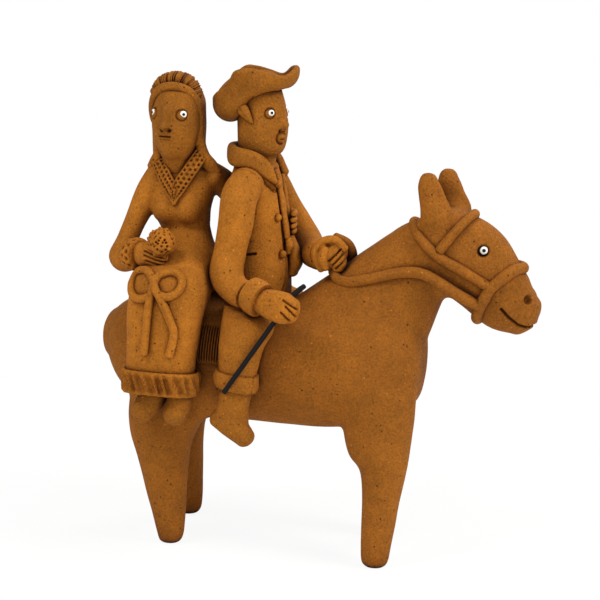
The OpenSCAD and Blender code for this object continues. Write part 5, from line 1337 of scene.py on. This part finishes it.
class CLAY_OT_woman_head(bpy.types.Operator):
    """Woman's head: long nose and stamped eyes, veil, rolled headband and incised crest of hair."""

    bl_idname = "clay.woman_head"
    bl_label = "Woman's head"

    def execute(self, context):
        """Loft the face and raise its features, then lay the veil, band and crest over it."""
        rows = [
            [0, 1.2, 0.3, 0.31], [0.14, 0.6, 0.31, 0.33], [0.23, -1, 0.35, 0.37],
            [0.33, -2.4, 0.415, 0.435], [0.45, -3.2, 0.465, 0.48], [0.58, -3.3, 0.5, 0.5],
            [0.78, -2.2, 0.49, 0.5], [0.95, -0.6, 0.42, 0.43]]
        keys = at(WOMAN_HEAD, [
            [0, dy, z * WOMAN_HEAD_H, a * WOMAN_HEAD_W, b * WOMAN_HEAD_W] for z, dy, a, b in rows])
        axis = WOMAN_HEAD + [0, -2.6, 0]
        ways = [facing(WOMAN_EYES_TURN, spread) for spread in (-40, 40)]
        eyes = [axis + way * 10.5 + Z * 26 for way in ways]
        way = facing(WOMAN_TURN)
        across = unit(np.cross(Z, way))
        face = axis + way * 11
        mouth = face + Z * 16.6 - across * 0.4
        marks = [
            stroke([face + Z * 28, face + Z * 20.6], 1.6, -3.2, -way),
            stroke([face + across * 1.2 + Z * 20.8, face - across * 1.2 + Z * 20.8], 1.6, -1.4, -way, 3),
            stroke([face + across * s + Z * 19.4 for s in (-1.6, 1.6)], 0.78, 2.2, -way, 3, True),
            stroke([mouth - across * 1.6, mouth + across * 1.6], 1.9, -0.9, -way, 4),
            stroke([mouth - across * 2.4, mouth + across * 2.4], 0.34, 1.3, -way),
            stroke([mouth - across * 1.9 - Z * 1.2, mouth + across * 1.9 - Z * 1.2], 0.25, 0.5, -way),
            stroke(face + Z * 10, 4, -1.7, -way),
            *eye_rings(eyes, ways, sized("rider_eye") + 0.4)]
        clay("woman_head_clay", loft(keys, count=150, sides=190, ends=(2, 3), q=2.2, across=(X, Y)), marks)
        eye_pair("woman", eyes, ways, (-0.5, 0.8), 3.0)
        veil = at(WOMAN_NECK, [
            [-1.8, 4, -2.5, 15.5, 8.4], [-3.4, 4.6, 3, 13.4, 9.4], [-4.8, 4.6, 11, 12, 10.4],
            [-5, 4, 23, 12, 11.6], [-5.1, 3.4, 31, 11.8, 11.6], [-5.3, 3.2, 36, 10, 9.8]])
        right = [
            [-56.6, -5, 187, 2, 2], [-56, -7, 180, 2.3, 2.2], [-54, -8, 174.6, 2.8, 2.2],
            [-51, -7.4, 170.6, 3.2, 2], [-48.6, -6, 167.6, 2.6, 1.8]]
        left = [
            [-76.2, -5.6, 187, 1.7, 2], [-75.6, -7, 180, 2, 2.2], [-75.2, -8, 175, 2.2, 2.2],
            [-76.6, -8, 171, 2.6, 2], [-78.4, -7, 168.2, 2.4, 1.8]]
        drapes = [loft(rows, count=70, sides=32, ends=(1, 1.2), q=2.4) for rows in (left, right)]
        dots = stroke([[-77, -9, 171.6], [-78.6, -9, 170], [-77.4, -9, 168.6]], 0.6, 0.8, Y, 2.6, True)
        veil = loft(veil, count=80, sides=90, ends=(3, 3), q=2.2, across=(X, Y))
        clay("veil_clay", joined(veil, *drapes), [dots], even=1.6)
        band = WOMAN_NECK + [-4.2, 0, 0] + np.array([
            [-9, 2.4, 19], [-10.2, -1.2, 23], [-9.6, -5, 30], [-6, -7.8, 35.6], [0.3, -8.8, 37.6],
            [6.7, -7.8, 36], [10.3, -5, 30.4], [10.9, -3, 22], [10.6, -3.6, 13]])
        clay("headband_clay", loft(tube(band, 4.6), count=120, sides=28, ends=(1.6, 1.6)), even=1.5)
        crest = at(WOMAN_NECK + [-5.2, 0, 0], [
            [-8.4, -0.6, 33.4, 3.6, 6], [-5.1, -0.8, 38, 4.4, 6], [0.5, -1, 39.8, 4.6, 6],
            [5.9, -0.8, 38.2, 4.4, 6], [9.2, -0.6, 33.6, 3.6, 6]])
        crest = flow(crest, 190)
        # Combed lines: the section shrinks by an uneven share of |cos(pi * t)| ** 3, with t from 0 to 22.5
        along = np.linspace(0, 22.5, len(crest))
        lines = np.abs(np.cos(math.pi * (along + 0.3 * np.sin(along * 1.7)))) ** 3
        crest[:, 3:] *= 1 - (0.14 + 0.07 * np.sin(along * 2.3)[:, None]) * lines[:, None]
        clay("hair_crest_clay", loft(crest, count=190, sides=40, ends=(1.8, 1.8)))
        return {"FINISHED"}


# Stage

# Middle of the view in millimetres, and each lamp's place from it and width in metres
VIEW_MIDDLE = np.array([-10.0, 0.0, 112.0])
LAMPS = {
    "key": ([-0.43, -0.46, 0.83], 0.3),
    "fill": ([0.76, -0.12, 0.7], 0.35),
    "back": ([0.3, 0.7, 0.75], 0.4),
    "front": ([0.12, -0.95, 0.2], 0.4),
}


class CLAY_OT_stage(bpy.types.Operator):
    """Stage: pale floor, soft light and the camera at the photograph's angle."""

    bl_idname = "clay.stage"
    bl_label = "Stage"

    def execute(self, context):
        """Make the floor, the sky, the lamps and the camera."""
        stage = context.scene.clay_stage
        context.scene.view_settings.view_transform = "Standard"
        target = (VIEW_MIDDLE + STAND) * MM
        self.floor()
        self.sky(context, stage.sky)
        for name, (shift, size) in LAMPS.items():
            self.lamp(name + "_light", target + shift, target, size, getattr(stage, name))
        self.camera(context, stage, target)
        return {"FINISHED"}

    def floor(self):
        """Near-white floor that the camera sees mostly as white, with the group's shadow left on it."""
        mesh = bpy.data.meshes.new("floor")
        mesh.from_pydata([(-3, -3, 0), (3, -3, 0), (3, 3, 0), (-3, 3, 0)], [], [(0, 1, 2, 3)])
        made, tree, shader = material("white_paper")
        shader.inputs["Base Color"].default_value = (*srgb("#f4f2ee"), 1)
        shader.inputs["Roughness"].default_value = 0.9
        path = add(tree, "ShaderNodeLightPath")
        place = add(tree, "ShaderNodeTexCoord").outputs["Object"]
        away = add(tree, "ShaderNodeVectorMath", [(place, 0)], operation="LENGTH")
        share = add(tree, "ShaderNodeMapRange", [(away.outputs["Value"], 0)], in_1=0.1, in_2=0.35, in_3=0.9,
                    in_4=1.0)
        share = add(tree, "ShaderNodeMath", [(path.outputs["Is Camera Ray"], 0), (share.outputs[0], 1)],
                    operation="MULTIPLY")
        glow = add(tree, "ShaderNodeEmission")
        mixed = add(tree, "ShaderNodeMixShader",
                    [(share.outputs[0], 0), (shader.outputs[0], 1), (glow.outputs[0], 2)])
        tree.links.new(mixed.outputs[0], tree.nodes["Material Output"].inputs[0])
        mesh.materials.append(made)
        floor = bpy.data.objects.new("floor", mesh)
        bpy.context.scene.collection.objects.link(floor)

    def sky(self, context, strength):
        """Even light from all round, white where the camera sees it."""
        world = bpy.data.worlds.new("sky")
        world.use_nodes = True
        tree = world.node_tree
        path = add(tree, "ShaderNodeLightPath")
        seen = add(tree, "ShaderNodeMath",
                   [(path.outputs["Is Camera Ray"], 0), (path.outputs["Is Glossy Ray"], 1)],
                   operation="MAXIMUM")
        level = add(tree, "ShaderNodeMapRange", [(seen.outputs[0], 0)], in_3=strength, in_4=1.0)
        tree.links.new(level.outputs[0], tree.nodes["Background"].inputs["Strength"])
        tree.nodes["Background"].inputs["Color"].default_value = (1, 1, 1, 1)
        context.scene.world = world

    def lamp(self, name, place, target, size, power):
        """Soft square lamp that looks at the target."""
        light = bpy.data.lights.new(name, "AREA")
        light.size = size
        light.energy = power
        lamp = bpy.data.objects.new(name, light)
        lamp.location = Vector(place)
        lamp.rotation_euler = Vector(target - place).to_track_quat("-Z", "Y").to_euler()
        bpy.context.scene.collection.objects.link(lamp)

    def camera(self, context, stage, target):
        """Camera on the back vector of its azimuth and elevation, rolled, with its lens from the view."""
        a, e, r = stage.azimuth, stage.elevation, stage.roll
        back = np.array([math.sin(a) * math.cos(e), -math.cos(a) * math.cos(e), math.sin(e)])
        right = np.array([math.cos(a), math.sin(a), 0])
        up = np.cross(back, right)
        rolled = math.cos(r) * right + math.sin(r) * up
        turned = math.cos(r) * up - math.sin(r) * right
        view = bpy.data.cameras.new("camera")
        view.sensor_width = 36.0
        view.lens = view.sensor_width * stage.distance / stage.view_width
        view.clip_start = 0.01
        camera = bpy.data.objects.new("camera", view)
        place = target + back * stage.distance
        rows = np.column_stack([rolled, turned, back, place])
        camera.matrix_world = Matrix([*rows.tolist(), [0, 0, 0, 1]])
        context.scene.collection.objects.link(camera)
        context.scene.camera = camera


class CLAY_PT_pieces(bpy.types.Panel):
    """Sidebar list of the pieces."""

    bl_idname = "CLAY_PT_pieces"
    bl_label = "Clay riders"
    bl_space_type = "VIEW_3D"
    bl_region_type = "UI"
    bl_category = "Clay"

    def draw(self, context):
        """One button for each operator, and the settings."""
        for kind in STEPS:
            self.layout.operator(kind.bl_idname)
        for group in (context.scene.clay_sizes, context.scene.clay_colours, context.scene.clay_stage):
            for name in group.__annotations__:
                self.layout.prop(group, name)


STEPS = [
    CLAY_OT_stage, CLAY_OT_horse_body, CLAY_OT_bridle, CLAY_OT_saddle_blanket, CLAY_OT_coat,
    CLAY_OT_man_head, CLAY_OT_hat, CLAY_OT_man_arms, CLAY_OT_man_legs, CLAY_OT_stick, CLAY_OT_dress,
    CLAY_OT_sash, CLAY_OT_lace, CLAY_OT_woman_hands, CLAY_OT_woman_head]
SETTINGS = {"clay_sizes": ClaySizes, "clay_colours": ClayColours, "clay_stage": ClayStage}


def register():
    """Register the settings, the operators and the panel."""
    for kind in [*SETTINGS.values(), *STEPS, CLAY_PT_pieces]:
        bpy.utils.register_class(kind)
    for name, kind in SETTINGS.items():
        setattr(bpy.types.Scene, name, bpy.props.PointerProperty(type=kind))


def unregister():
    """Take everything out again."""
    for name in SETTINGS:
        delattr(bpy.types.Scene, name)
    for kind in reversed([*SETTINGS.values(), *STEPS, CLAY_PT_pieces]):
        bpy.utils.unregister_class(kind)


def main():
    """Build every piece and the stage."""
    register()
    for kind in STEPS:
        group, name = kind.bl_idname.split(".")
        getattr(getattr(bpy.ops, group), name)()


if __name__ == "__main__":
    main()
